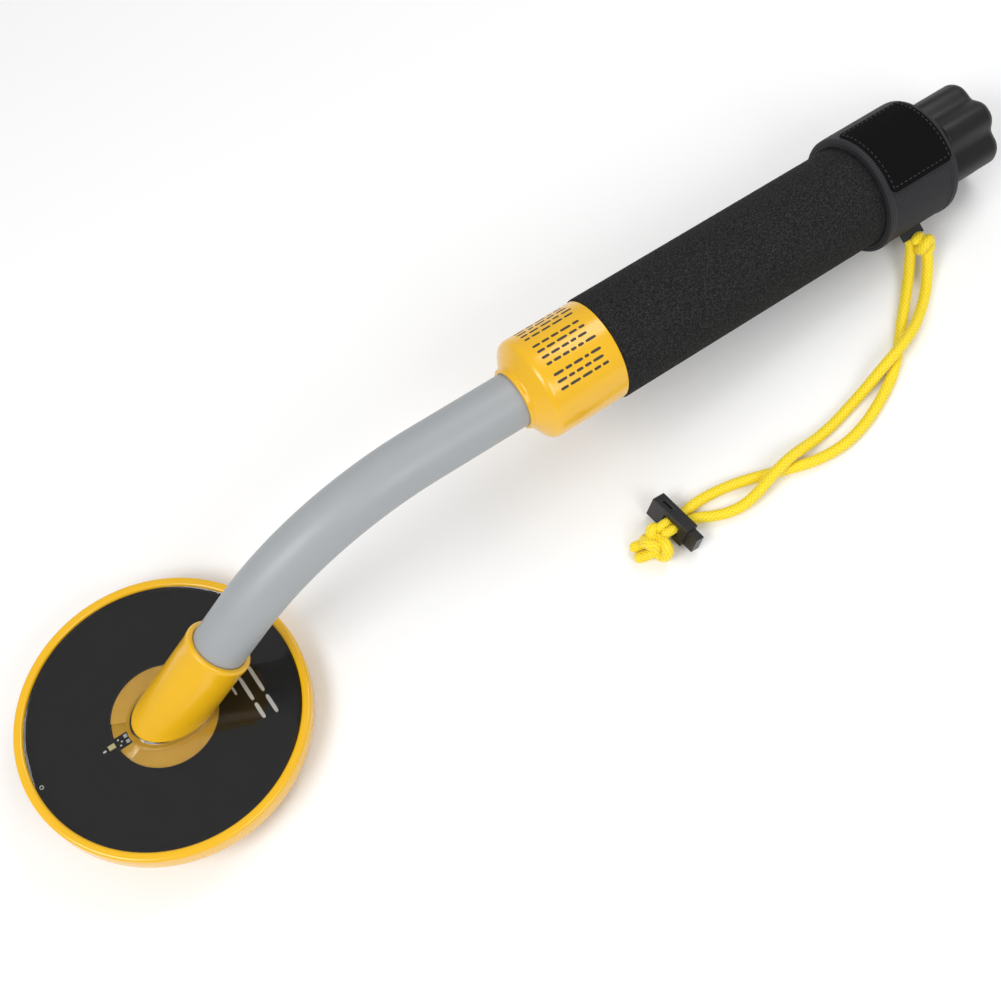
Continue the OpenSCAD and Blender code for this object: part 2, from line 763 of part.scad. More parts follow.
module cord_lock_plunger() {
    inner = lock_len / 2 - lock_wall - spring_gap;
    outer = -lock_len / 2 - plunger_out;
    wide = lock_t - 2 * lock_wall - 2 * slide_gap;
    high = lock_h - 2 * lock_wall - 2 * slide_gap;
    slot_in = hole_y + hole_w / 2 + 0.1;
    slot_len = hole_w + lock_travel + 0.2;
    color([0.18, 0.18, 0.19]) on_lock() difference() {
        union() {
            translate([-wide / 2, outer, -high / 2]) cube([wide, inner - outer, high]);
            translate([-0.7, lock_len / 2 - 10.2, high / 2 - eps]) cube([1.4, 1.4, lock_wall - 0.1]);
        }
        translate([-wide, slot_in - slot_len, -squeezed_d / 2 - 0.2])
            cube([2 * wide, slot_len, squeezed_d + 0.4]);
        translate([0, inner - pocket_h, 0]) rotate([-90, 0, 0]) cylinder(r = 1.9, h = pocket_h + 1);
    }
}

// The spring is drawn at the length it has with the plunger pressed
module cord_lock_spring() {
    base = lock_len / 2 - lock_wall - wire_d / 2;
    length = spring_gap - lock_travel + pocket_h - wire_d - 0.1;
    steps = 10 * spring_turns;
    coil = [for (i = [0:steps]) [1.4 * cos(36 * i), base - length * i / steps, 1.4 * sin(36 * i)]];
    color("silver") on_lock() tube(coil, [for (p = coil) wire_d / 2], [0, 1, 0], 6);
}

coil_dish();
stem_socket();
coil_winding();
coil_leads();
coil_board();
indicator_led();
solder_pads();
potting_resin();
stem_tube();
coil_cable();
front_cap();
stem_seal();
handle_pipe();
foam_grip();
strap_band();
strap_flap();
lanyard_tab();
board_holders();
main_board();
board_chips();
board_capacitors();
cable_connector();
vibration_motor();
motor_cradle();
motor_weight();
tilt_switch();
tilt_ball();
battery();
battery_snap();
battery_leads();
battery_pad();
plug_cap();
plug_gasket();
plug_disc();
plug_bolt();
knob_washer();
knob();
knob_nut();
lanyard_strand_a();
lanyard_strand_b();
strap_knot();
end_knot();
cord_lock_case();
cord_lock_plunger();
cord_lock_spring();
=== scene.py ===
"""Pinpointer probe: the finish of every piece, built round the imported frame.

Shapes are worked out in millimetres, in the row frame or in one of three local frames, head, stem
and handle, and are put into the row frame in metres. Each local frame's Y is the row's Y.
"""

import json
import math

import bmesh
import bpy
import numpy as np
from bpy.props import FloatProperty, FloatVectorProperty, IntProperty, PointerProperty
from mathutils import Euler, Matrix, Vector

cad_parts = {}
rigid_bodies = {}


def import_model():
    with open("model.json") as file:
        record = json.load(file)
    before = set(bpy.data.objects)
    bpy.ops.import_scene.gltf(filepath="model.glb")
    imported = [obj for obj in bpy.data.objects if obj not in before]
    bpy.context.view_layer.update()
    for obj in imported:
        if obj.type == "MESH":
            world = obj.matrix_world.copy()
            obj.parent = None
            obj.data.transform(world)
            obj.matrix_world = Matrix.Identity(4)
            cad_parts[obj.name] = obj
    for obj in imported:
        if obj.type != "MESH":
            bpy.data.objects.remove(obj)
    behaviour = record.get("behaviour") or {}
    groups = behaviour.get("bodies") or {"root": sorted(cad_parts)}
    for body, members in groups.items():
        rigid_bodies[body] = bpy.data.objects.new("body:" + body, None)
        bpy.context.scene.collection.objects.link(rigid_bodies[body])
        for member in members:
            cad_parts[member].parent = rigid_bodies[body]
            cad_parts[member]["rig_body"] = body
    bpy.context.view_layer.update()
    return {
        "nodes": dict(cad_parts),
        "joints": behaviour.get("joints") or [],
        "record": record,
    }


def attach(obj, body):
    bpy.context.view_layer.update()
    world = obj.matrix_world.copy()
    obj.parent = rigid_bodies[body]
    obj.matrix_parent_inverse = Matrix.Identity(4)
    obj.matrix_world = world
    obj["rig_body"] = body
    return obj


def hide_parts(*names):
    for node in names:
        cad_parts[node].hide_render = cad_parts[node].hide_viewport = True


bl_info = {
    "name": "Pinpointer Probe",
    "version": (1, 0, 0),
    "blender": (4, 5, 0),
    "location": "View3D > Sidebar > Probe",
    "description": "Builds the finished pieces of a pinpointer probe round its packed frame",
    "category": "Add Mesh",
}

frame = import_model()

MM = 0.001
FULL_TURN = 2 * math.pi
RECORD = frame["record"]
JOINTS = {joint["name"]: joint for joint in frame["joints"]}
MOUNTS = {mount["name"]: mount for mount in RECORD["mounts"]}
SLOT_OF = {part["node"]: part["material_slot"] for part in RECORD["subparts"]}

# How the stem stands on the head, as the CAD has it
STEM_ANGLE = math.radians(45)
SLOPE_X, SLOPE_Z = math.cos(STEM_ANGLE), math.sin(STEM_ANGLE)
STEM_RISE = 78.5
BEND_RADIUS = 133.4
STEM_FOOT = -4.35


# ---------- local frames ----------

def local_frame(origin, z):
    """A 4 x 4 array: the columns are X, Y, Z and the origin, with Y the row's own Y."""
    made = np.eye(4)
    z = np.array(z, float) / np.linalg.norm(z)
    made[:3, 0] = np.cross((0, 1, 0), z)
    made[:3, 2] = z
    made[:3, 3] = origin
    return made


def place(local, matrix):
    """Points in millimetres of a local frame, as metres in the row frame."""
    return local * MM @ matrix[:3, :3].T + matrix[:3, 3]


def extent(node, matrix):
    """A CAD node's lowest and highest corner in a local frame, in millimetres."""
    mesh = frame["nodes"][node].data
    points = np.empty(len(mesh.vertices) * 3)
    mesh.vertices.foreach_get("co", points)
    local = (points.reshape(-1, 3) - matrix[:3, 3]) @ matrix[:3, :3] / MM
    return local.min(0), local.max(0)


# Head: origin in the middle of the search face, Z up through the head
HEAD = local_frame(MOUNTS["search_face"]["pos_m"], [-a for a in MOUNTS["search_face"]["axis"]])
# Stem: origin where its axis meets the search face, Z up along the lower stem
STEM = local_frame(place(np.array([STEM_FOOT, 0, 0]), HEAD),
                   HEAD[:3, 0] * SLOPE_X + HEAD[:3, 2] * SLOPE_Z)
# Handle: origin under the knob, Z along the handle to the knob, X down
HANDLE = local_frame(JOINTS["knob_turn"]["pos_m"], JOINTS["plug_pull"]["axis"])

# The outer radii of the stem's pipe and the handle's, in millimetres
STEM_RADIUS = extent("stem_tube", HANDLE)[1][1]
TUBE_RADIUS = extent("handle_pipe", HANDLE)[1][1]


# ---------- colours ----------

def linear(code):
    """An sRGB hex colour as linear red, green and blue."""
    values = [int(code[i:i + 2], 16) / 255 for i in (0, 2, 4)]
    return tuple(v / 12.92 if v <= 0.04045 else ((v + 0.055) / 1.055) ** 2.4 for v in values)


def colour(label, description, code):
    return FloatVectorProperty(name=label, description=description, default=linear(code),
                               subtype="COLOR", size=3, min=0, max=1)


def length(label, description, millimetres):
    return FloatProperty(name=label, description=description, default=millimetres * MM,
                         min=0, max=0.05, precision=5, subtype="DISTANCE", unit="LENGTH")


class ProbeColours(bpy.types.PropertyGroup):
    """The colours that are seen from outside."""
    yellow: colour("Yellow", "Moulded head, socket and front cap", "E9B312")
    pipe: colour("Pipe grey", "Bent stem pipe", "9DA1A4")
    foam: colour("Foam", "Handle grip", "1F1F1F")
    webbing: colour("Webbing", "Ribbed strap", "242427")
    tape: colour("Tape", "Patch on the strap", "0F0F10")
    knob: colour("Knob", "Knob and plug", "161617")
    cord: colour("Cord", "Braided lanyard", "FAE012")
    # Painted shade: the darker gold that the cord's material puts in the valleys between its strands
    cord_shade: colour("Cord shade", "Between the cord's strands", "D9A800")
    lock: colour("Cord lock", "Case and plunger", "242426")
    board: colour("Board", "Solder mask under the resin", "161617")


class ProbeSizes(bpy.types.PropertyGroup):
    """Sizes of the finish. Everything else comes from the frame."""
    meniscus: length("Meniscus", "How high the resin climbs at its edges", 0.9)
    foot_fillet: length("Foot fillet", "Flare where the socket meets the head", 1.2)
    lip: length("Socket lip", "Rolled edge of the socket's mouth", 1.3)
    rib_pitch: length("Rib pitch", "Distance between the webbing's ribs", 0.95)
    rib_depth: length("Rib depth", "Depth between the webbing's ribs", 0.16)
    stitch_pitch: length("Stitch pitch", "Distance between stitches", 2.6)
    cord_diameter: length("Cord", "Diameter of the lanyard cord", 5.2)
    braid_lay: length("Braid lay", "Length of one turn of the braid", 17.0)
    braid_depth: length("Braid depth", "Depth between the cord's strands", 0.42)
    braid_carriers: IntProperty(name="Carriers", description="Strands each way in the braid",
                                default=8, min=4, max=16, subtype="UNSIGNED")
    valley: length("Knob valley", "Depth of the valleys between the knob's lobes", 3.6)
    knob_round: length("Knob edge", "Rounding of the knob's outer edge", 5.0)


def hue(name):
    """One of the probe's colours."""
    return tuple(getattr(bpy.context.scene.probe_colours, name))


def size(name):
    """One of the finish's sizes, in millimetres."""
    return getattr(bpy.context.scene.probe_sizes, name) / MM


# ---------- surfaces ----------

def unit(v):
    return v / np.linalg.norm(v, axis=-1, keepdims=True)


def full_turn(steps):
    """Angles in equal steps round a circle, each once."""
    return np.linspace(0, FULL_TURN, steps, endpoint=False)


def polar(radius, angle, height=0):
    """Points at a radius, an angle and a height: x = r cos a, y = r sin a, z = h."""
    return np.stack(np.broadcast_arrays(radius * np.cos(angle), radius * np.sin(angle), height), -1)


def new_mesh(points, faces):
    """A mesh of points in metres. Its piece names it."""
    mesh = bpy.data.meshes.new("shape")
    mesh.from_pydata(points.reshape(-1, 3).tolist(), [], faces)
    return mesh


def mended(mesh, dissolve):
    """Merges points at one place, dissolves what a function picks and turns every face outwards."""
    shell = bmesh.new()
    shell.from_mesh(mesh)
    bmesh.ops.remove_doubles(shell, verts=shell.verts, dist=1e-6)
    dissolve(shell)
    bmesh.ops.recalc_face_normals(shell, faces=shell.faces)
    shell.to_mesh(mesh)
    shell.free()
    mesh.shade_smooth()
    return mesh


def clean(mesh, sharp=38):
    """Mends a mesh and shades all but its sharp edges smooth."""
    mended(mesh, lambda shell: bmesh.ops.dissolve_degenerate(shell, edges=shell.edges, dist=1e-7))
    mesh.set_sharp_from_angle(angle=math.radians(sharp))
    return mesh


def surface(points, closed=False, relief=None, sharp=38):
    """A face for each cell of the grid points[path, ring], in metres. Each ring closes on itself, the
    path does if closed, and a ring that shrinks to one point is a pole. The UV map is in
    millimetres: across is the way round the ring, along the way down the path."""
    rows, cols = points.shape[:2]
    i, j = np.divmod(np.arange((rows if closed else rows - 1) * cols), cols)
    corners = ((0, 0), (0, 1), (1, 1), (1, 0))
    faces = np.stack([(i + a) % rows * cols + (j + b) % cols for a, b in corners], -1)
    mesh = new_mesh(points, faces.tolist())
    along, across = (
        np.concatenate([[0], np.cumsum(
            np.linalg.norm(np.roll(points, -1, way) - points, axis=2).mean(1 - way))]) / MM
        for way in (0, 1))
    uv = np.stack([np.stack([across[j + b], along[i + a]], -1) for a, b in corners], 1)
    mesh.uv_layers.new(name="UVMap").data.foreach_set("uv", uv.astype(np.float32).ravel())
    if relief is not None:
        mesh.attributes.new("relief", "FLOAT", "POINT").data.foreach_set(
            "value", relief.astype(np.float32).ravel())
    return clean(mesh, sharp)


def outline(*corners):
    """Straight lines between corners (x, y, fillet). A fillet is the arc that touches both its
    lines: its centre lies on the corner's bisector, at the fillet's radius from each line."""
    points = np.array([corner[:2] for corner in corners], float)
    made = [points[:1]]
    k = np.linspace(0, 1, 7)[:, None]
    for before, here, after, corner in zip(points, points[1:], points[2:], corners[1:]):
        if corner[2] == 0:
            made.append(here[None])
            continue
        u, v = unit(before - here), unit(after - here)
        half = math.acos(np.clip(u @ v, -1, 1)) / 2
        centre = here + unit(u + v) * corner[2] / math.sin(half)
        first = here + u * corner[2] / math.tan(half) - centre
        last = here + v * corner[2] / math.tan(half) - centre
        sweep = math.pi - 2 * half
        made.append(centre + (np.sin((1 - k) * sweep) * first + np.sin(k * sweep) * last)
                    / math.sin(sweep))
    made.append(points[-1:])
    return np.vstack(made)


def turned(rows, matrix, closed=False, sides=192, sharp=38):
    """Rows of (radius, height), each a number or one value for each side, turned about the frame's
    Z."""
    angle = full_turn(sides)
    radius, height = (np.stack([row[k] + 0 * angle for row in rows]) for k in (0, 1))
    return surface(place(polar(radius, angle, height), matrix), closed=closed, sharp=sharp)


def smooth_path(points, spacing):
    """A Catmull-Rom curve through the points, cut into equal steps: each span is the cubic whose
    ends have the slopes of the lines between the points' neighbours."""
    points = np.array(points, float)
    p = np.vstack([2 * points[0] - points[1], points, 2 * points[-1] - points[-2]])
    t = np.linspace(0, 1, 24, endpoint=False)[:, None, None]
    a, b, c, d = p[:-3], p[1:-2], p[2:-1], p[3:]
    curve = (2 * b + (c - a) * t + (2 * a - 5 * b + 4 * c - d) * t ** 2
             + (3 * b - a - 3 * c + d) * t ** 3) / 2
    return even_steps(np.vstack([curve.transpose(1, 0, 2).reshape(-1, 3), points[-1:]]), spacing)


def distance_along(path):
    return np.concatenate([[0], np.cumsum(np.linalg.norm(np.diff(path, axis=0), axis=1))])


def even_steps(path, spacing):
    along = distance_along(path)
    at = np.linspace(0, along[-1], int(round(along[-1] / spacing)) + 1)
    return np.stack([np.interp(at, along, path[:, k]) for k in range(3)], -1)


def braided(path, radius, up, loop=False):
    """A braided cord along a path in millimetres. Two families of strands wind round it, one each
    way: a and b count them, and where floor(a) + floor(b) is even the first lies on top. A strand
    is half an ellipse across, and dips a little at both ends of each float."""
    carriers = bpy.context.scene.probe_sizes.braid_carriers
    sides = 8 * carriers
    way = unit(np.roll(path, -1, 0) - np.roll(path, 1, 0)) if loop else unit(np.gradient(path, axis=0))
    side = unit(np.cross(way, up))[:, None]
    top = np.cross(side[:, 0], way)[:, None]
    along = distance_along(path)[:, None]
    lay = size("braid_lay")
    if loop:
        around = along[-1, 0] + np.linalg.norm(path[0] - path[-1])
        lay = around / round(around / lay)
    angle = full_turn(sides)
    a = carriers * (angle / FULL_TURN + along / lay)
    b = carriers * (angle / FULL_TURN - along / lay)
    across_a, across_b = np.sqrt(1 - (2 * (a % 1) - 1) ** 2), np.sqrt(1 - (2 * (b % 1) - 1) ** 2)
    # relief: how high each point stands on its strand; the cord's material also paints shade from it into
    # the valleys
    relief = np.where((np.floor(a) + np.floor(b)) % 2 == 0,
                      across_a * (0.75 + 0.25 * across_b), across_b * (0.75 + 0.25 * across_a))
    r = radius - size("braid_depth") * (1 - relief)
    if not loop:
        end = np.minimum(along, along[-1] - along) / np.mean(radius)
        r = r * np.sqrt(1 - (1 - np.clip(end, 0, 1)) ** 2)
    points = path[:, None] + r[..., None] * (np.cos(angle)[:, None] * side
                                            + np.sin(angle)[:, None] * top)
    return surface(points * MM, closed=loop, relief=relief, sharp=80)


def rods(points, matrix, sharp=38):
    """Closed bars from points[bar, row, side]: a wall from each row to the next and an end cap on
    the first row and the last. A row may shrink to one point."""
    at = np.arange(points[..., 0].size).reshape(points.shape[:3])
    onward = np.roll(at, -1, 2)
    walls = np.stack([at[:, :-1], onward[:, :-1], onward[:, 1:], at[:, 1:]], -1).reshape(-1, 4)
    faces = walls.tolist() + at[:, -1].tolist() + at[:, 0, ::-1].tolist()
    return clean(new_mesh(place(points, matrix), faces), sharp)


def bars(centres, halves, matrix, thickness=0.05):
    """Thin plates with rounded corners. centres are (n, 3); halves are (n, 2, 3), each plate's
    half length and half height as vectors. An outline is a superellipse of a dozen points."""
    ring = polar(1, full_turn(12) + FULL_TURN / 24)[:, :2]
    ring = np.sign(ring) * np.abs(ring) ** 0.5
    up = unit(np.cross(halves[:, 0], halves[:, 1]))[:, None] * thickness
    flat = centres[:, None] + np.einsum("kc,ncd->nkd", ring, halves)
    return rods(np.stack([flat - up, flat + up], 1), matrix)


def stitches(middles, ways, ups, span, radius):
    """Short threads that dip into the cloth at both ends: each is a tube whose middle bows up by
    sin, with a radius that falls to nothing at the ends."""
    t, turn = np.linspace(0, 1, 6), full_turn(6)
    thick = radius * np.sin(math.pi * t) ** 0.5
    side = unit(np.cross(ways, ups))
    line = (middles[:, None] + ways[:, None] * ((t - 0.5) * span)[:, None]
            + ups[:, None] * (np.sin(math.pi * t) * radius - radius / 2)[:, None])
    ring = np.cos(turn)[:, None] * side[:, None, None] + np.sin(turn)[:, None] * ups[:, None, None]
    return rods(line[:, :, None] + ring * thick[:, None, None], HANDLE, sharp=80)


def detail(name, mesh, finish, node):
    """Puts a mesh into the scene on a CAD node's body, without hiding the node."""
    mesh.name = name
    mesh.materials.append(finish)
    made = bpy.data.objects.new(name, mesh)
    bpy.context.scene.collection.objects.link(made)
    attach(made, frame["nodes"][node]["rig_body"])
    return made


def piece(name, mesh, finish, node):
    """Puts a mesh into the scene in place of a CAD node, on its body."""
    made = detail(name, mesh, finish, node)
    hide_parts(node)
    return made


def softened(name, node, finish, width):
    """A merged copy of a CAD node whose edges are cut back by width and rounded in three steps."""
    source = frame["nodes"][node].data
    mesh = new_mesh(np.array([v.co for v in source.vertices]), [list(p.vertices) for p in source.polygons])
    mended(mesh, lambda shell: bmesh.ops.dissolve_limit(
        shell, angle_limit=math.radians(1), verts=shell.verts, edges=shell.edges))
    made = piece(name, mesh, finish, node)
    edges = made.modifiers.new("rounded edges", "BEVEL")
    edges.width = width * MM
    edges.segments = 3
    edges.limit_method = "ANGLE"
    edges.angle_limit = math.radians(30)
    edges.harden_normals = True
    return made


# ---------- materials ----------

def add(tree, kind, inputs=(), **settings):
    """Adds a shader node: a socket or a node's first output given as an input is linked to it, and
    any other value is set on it."""
    node = tree.nodes.new("ShaderNode" + kind)
    for key, value in settings.items():
        setattr(node, key, value)
    for key, value in dict(inputs).items():
        if isinstance(value, bpy.types.Node):
            value = value.outputs[0]
        if isinstance(value, bpy.types.NodeSocket):
            tree.links.new(value, node.inputs[key])
        else:
            node.inputs[key].default_value = value
    return node


def made_once(make):
    """Gives back a material that was made before. Its name is make's first argument, or make's
    own name."""
    def found_or_made(*given, **settings):
        name = given[0] if given else make.__name__
        return bpy.data.materials.get(name) or make(*given, **settings)
    return found_or_made


def start(name, base, roughness, **sockets):
    """A new material, its tree, its shader and its Object coordinates. sockets are the shader's
    own, with _ for a space."""
    material = bpy.data.materials.new(name)
    material.use_nodes = True
    tree = material.node_tree
    shader = tree.nodes["Principled BSDF"]
    shader.inputs["Base Color"].default_value = (*base, 1)
    shader.inputs["Roughness"].default_value = roughness
    for key, value in sockets.items():
        shader.inputs[key.replace("_", " ")].default_value = value
    return material, tree, shader, add(tree, "TexCoord").outputs["Object"]


def shades(base, low, high):
    """Two shades of a colour, as the two ends of a mix."""
    return tuple(min(v * low, 1) for v in base) + (1,), tuple(min(v * high, 1) for v in base) + (1,)


def patterned(tree, shader, factor, tones, height, depth):
    """Colours a shader between two tones by a factor, and raises it by a height, depth
    millimetres at most."""
    mixed = add(tree, "Mix", {0: factor, 6: tones[0], 7: tones[1]}, data_type="RGBA")
    bump = add(tree, "Bump", {"Height": height, "Distance": depth * MM})
    tree.links.new(mixed.outputs[2], shader.inputs["Base Color"])
    tree.links.new(bump.outputs[0], shader.inputs["Normal"])


@made_once
def moulded(name, base, roughness, grain=0.7, depth=0.012, drift=0.05, **sockets):
    """Plastic or metal with a fine grain, grain millimetres wide, in its surface. Its colour and
    gloss drift a little over 18 mm, as an injected or rolled surface does."""
    material, tree, shader, point = start(name, base, roughness, **sockets)
    cloud = add(tree, "TexNoise", {"Vector": point, "Scale": 1 / (18 * MM), "Detail": 3})
    gloss = add(tree, "MapRange", {0: cloud, 3: max(roughness - 0.05, 0.02), 4: roughness + 0.05})
    fine = add(tree, "TexNoise", {"Vector": point, "Scale": 1 / (grain * MM), "Detail": 2})
    tree.links.new(gloss.outputs[0], shader.inputs["Roughness"])
    patterned(tree, shader, cloud, shades(base, 1 - drift, 1 + drift), fine, depth)
    return material


def glossy_yellow_abs():
    """Injection-moulded ABS: an even gloss with a slight orange peel that softens highlights."""
    return moulded("glossy_yellow_abs", hue("yellow"), 0.24, grain=3.5, depth=0.02, drift=0.03,
                   Coat_Weight=0.25, Coat_Roughness=0.12)


def satin_grey_pvc():
    """Extruded PVC pipe: satin, with a broad soft highlight along its length."""
    return moulded("satin_grey_pvc", hue("pipe"), 0.42, grain=0.9, depth=0.006, drift=0.03)


def satin_black_nylon():
    """Moulded nylon: spark-eroded satin black that lights up softly on its lobes."""
    return moulded("satin_black_nylon", hue("knob"), 0.42, grain=0.55, depth=0.03, drift=0.12,
                   Specular_IOR_Level=0.3)


def black_acetal():
    """Moulded acetal: a harder, slightly glossier black than the knob, with sharp little glints."""
    return moulded("black_acetal", hue("lock"), 0.34, grain=0.5, depth=0.015, drift=0.1)


@made_once
def clear_potting_resin():
    """Cast epoxy: water-clear and glassy, with shrinkage waves 14 mm long that bend reflections."""
    material, tree, shader, point = start("clear_potting_resin", (1, 0.99, 0.965), 0.03,
                                          Transmission_Weight=1.0, IOR=1.52)
    wave = add(tree, "TexNoise", {"Vector": point, "Scale": 1 / (14 * MM), "Detail": 1})
    bump = add(tree, "Bump", {"Height": wave, "Distance": 0.05 * MM})
    tree.links.new(bump.outputs[0], shader.inputs["Normal"])
    return material


@made_once
def closed_cell_foam():
    """Foamed rubber: matt black with pale flecks, where cells 0.7 mm wide were cut open."""
    material, tree, shader, point = start("closed_cell_foam", hue("foam"), 0.95,
                                          Specular_IOR_Level=0.15)
    cells = add(tree, "TexVoronoi", {"Vector": point, "Scale": 1 / (0.75 * MM)})
    fleck = add(tree, "TexNoise",
                {"Vector": point, "Scale": 1 / (0.8 * MM), "Detail": 4, "Roughness": 0.75})
    strong = add(tree, "MapRange", {0: fleck, 1: 0.44, 2: 0.78})
    patterned(tree, shader, strong, shades(hue("foam"), 0.65, 4.2), cells, 0.22)
    return material


@made_once
def ribbed_nylon_webbing():
    """Woven nylon strap: a low sheen along the yarns, crossed by picks 1.2 mm apart. Real picks
    are 0.4 mm apart, too fine to show."""
    material, tree, shader, point = start("ribbed_nylon_webbing", hue("webbing"), 0.62,
                                          Specular_IOR_Level=0.3)
    # At scale 1 the wave repeats every 0.314
    wave, pick = 0.314, 1.2
    picks = add(tree, "TexWave", {"Vector": point.node.outputs["UV"], "Scale": wave / pick,
                                  "Distortion": 0.6, "Detail Scale": 2}, bands_direction="Y")
    patterned(tree, shader, picks, shades(hue("webbing"), 0.6, 1.5), picks, 0.12)
    return material


@made_once
def brushed_loop_tape():
    """Laminated loop tape: dead matt black with a short nap that hides its edges."""
    material, tree, shader, point = start("brushed_loop_tape", hue("tape"), 0.97,
                                          Specular_IOR_Level=0.08)
    nap = add(tree, "TexNoise", {"Vector": point, "Scale": 1 / (0.5 * MM), "Detail": 3})
    patterned(tree, shader, nap, shades(hue("tape"), 0.8, 1.25), nap, 0.06)
    return material


@made_once
def braided_polypropylene():
    """Braided filament cord: bright where strands rise, with painted shade, a darker gold, in the
    valleys between them; fibres 0.4 mm wide are drawn coarser than the real ones so that they show."""
    material, tree, shader, point = start("braided_polypropylene", hue("cord"), 0.5,
                                          Sheen_Weight=0.2, Subsurface_Weight=0.15,
                                          Subsurface_Scale=0.002)
    relief = add(tree, "Attribute", attribute_name="relief").outputs["Fac"]
    raised = add(tree, "MapRange", {0: relief, 1: 0.15, 2: 0.8})
    fibre = add(tree, "TexNoise", {"Vector": point, "Scale": 1 / (0.4 * MM), "Detail": 2})
    # Painted shade: low relief, the valleys between strands, takes the darker gold, and the strands' tops
    # the bright yellow
    patterned(tree, shader, raised, ((*hue("cord_shade"), 1), (*hue("cord"), 1)), fibre, 0.07)
    return material


@made_once
def brushed_metal(name, code, roughness):
    """Plated or machined metal: fine scratches along the handle give a streaked, bright finish."""
    material, tree, shader, point = start(name, linear(code), roughness, Metallic=1.0)
    drawn = add(tree, "Mapping", {"Vector": point, "Scale": (60, 2500, 2500)})
    streak = add(tree, "TexNoise", {"Vector": drawn, "Scale": 1, "Detail": 2})
    patterned(tree, shader, streak, shades(linear(code), 0.85, 1.1), streak, 0.01)
    return material


@made_once
def green_solder_mask():
    """Solder mask over copper: glossy green, a little paler over the tracks 1.5 mm apart."""
    base = linear("14603A")
    material, tree, shader, point = start("green_solder_mask", base, 0.3)
    tracks = add(tree, "TexBrick",
                 {"Vector": point, "Color1": (*base, 1), "Color2": shades(base, 0.7, 1)[0],
                  "Mortar": shades(base, 1.6, 1.6)[0], "Scale": 1 / (3 * MM), "Mortar Size": 0.08})
    bump = add(tree, "Bump", {"Height": tracks.outputs[1], "Distance": 0.03 * MM})
    tree.links.new(tracks.outputs[0], shader.inputs["Base Color"])
    tree.links.new(bump.outputs[0], shader.inputs["Normal"])
    return material


@made_once
def battery_wrapper():
    """Printed foil on a steel case: black, with a copper-coloured band at the end by the studs."""
    low, high = extent("battery", HANDLE)
    band = extent("battery_snap", HANDLE)[1][2] + 0.28 * (high[2] - low[2])
    black, copper = linear("1E1E20"), linear("C07A3A")
    material, tree, shader, point = start("battery_wrapper", black, 0.28)
    near = add(tree, "VectorMath", {0: point, 1: tuple(-HANDLE[:3, 3])}, operation="ADD")
    along = add(tree, "VectorMath", {0: near, 1: tuple(HANDLE[:3, 2])}, operation="DOT_PRODUCT")
    near_studs = add(tree, "Math", {0: along.outputs["Value"], 1: band * MM}, operation="LESS_THAN")
    grain = add(tree, "TexNoise", {"Vector": point, "Scale": 1 / (2 * MM)})
    patterned(tree, shader, near_studs, ((*black, 1), (*copper, 1)), grain, 0.01)
    return material


def inner_finishes():
    """The finish of each slot whose CAD nodes stay as they are."""
    return {
        "copper_wire": brushed_metal("enamelled_copper", "B5652C", 0.35),
        "solder": brushed_metal("tinned_pads", "D5D6D8", 0.3),
        "board_black": moulded("black_solder_mask", hue("board"), 0.35, grain=5, depth=0.01,
                              Specular_IOR_Level=0.08),
        "grey_pvc": satin_grey_pvc(),
        "cable_sheath": moulded("pvc_sheath", linear("38383A"), 0.6),
        "seal_rubber": moulded("nitrile_rubber", linear("191919"), 0.7, grain=0.4, depth=0.03),
        "white_pvc": moulded("extruded_white_pvc", linear("E6E6E2"), 0.4, drift=0.02),
        "black_webbing": moulded("nylon_tab", hue("webbing"), 0.7, grain=0.5, depth=0.1),
        "grey_foam": moulded("grey_sponge", linear("5A5A5C"), 0.95, grain=0.9, depth=0.3, drift=0.2),
        "green_board": green_solder_mask(),
        "chip_black": moulded("epoxy_chip", linear("1B1B1C"), 0.5, grain=0.3),
        "capacitor_sleeve": moulded("shrink_sleeve", linear("1B2A5C"), 0.3),
        "connector_ivory": moulded("ivory_nylon", linear("E8E0C4"), 0.5),
        "plated_steel": brushed_metal("zinc_plated_steel", "C9CBD0", 0.3),
        "ball_gold": brushed_metal("gold_plated_ball", "E8C46A", 0.15),
        "snap_black": moulded("vinyl_snap", linear("1A1A1A"), 0.55, grain=0.5, depth=0.05),
        "wire_red": moulded("red_wire", linear("B3231B"), 0.4),
        "black_nylon": satin_black_nylon(),
        "brass": brushed_metal("machined_brass", "D0A850", 0.25),
        "battery_case": battery_wrapper(),
        "spring_steel": brushed_metal("drawn_spring_wire", "B9BBBE", 0.25),
    }


# ---------- pieces ----------

class PieceOperator:
    """What every piece's operator shares."""
    bl_options = {"REGISTER", "UNDO"}


class PROBE_OT_camera(PieceOperator, bpy.types.Operator):
    """Adds the camera, above the search head's side of the handle"""
    bl_idname = "probe.camera"
    bl_label = "Camera"

    def execute(self, context):
        lens = bpy.data.cameras.new("camera")
        lens.lens = 49.39
        lens.sensor_width = 36
        lens.clip_start = 0.05
        camera = bpy.data.objects.new("camera", lens)
        camera.location = (-0.0767, -0.2591, 0.5880)
        camera.rotation_euler = Euler([math.radians(a) for a in (21.962, 9.841, -35.466)])
        context.scene.collection.objects.link(camera)
        context.scene.camera = camera
        return {"FINISHED"}


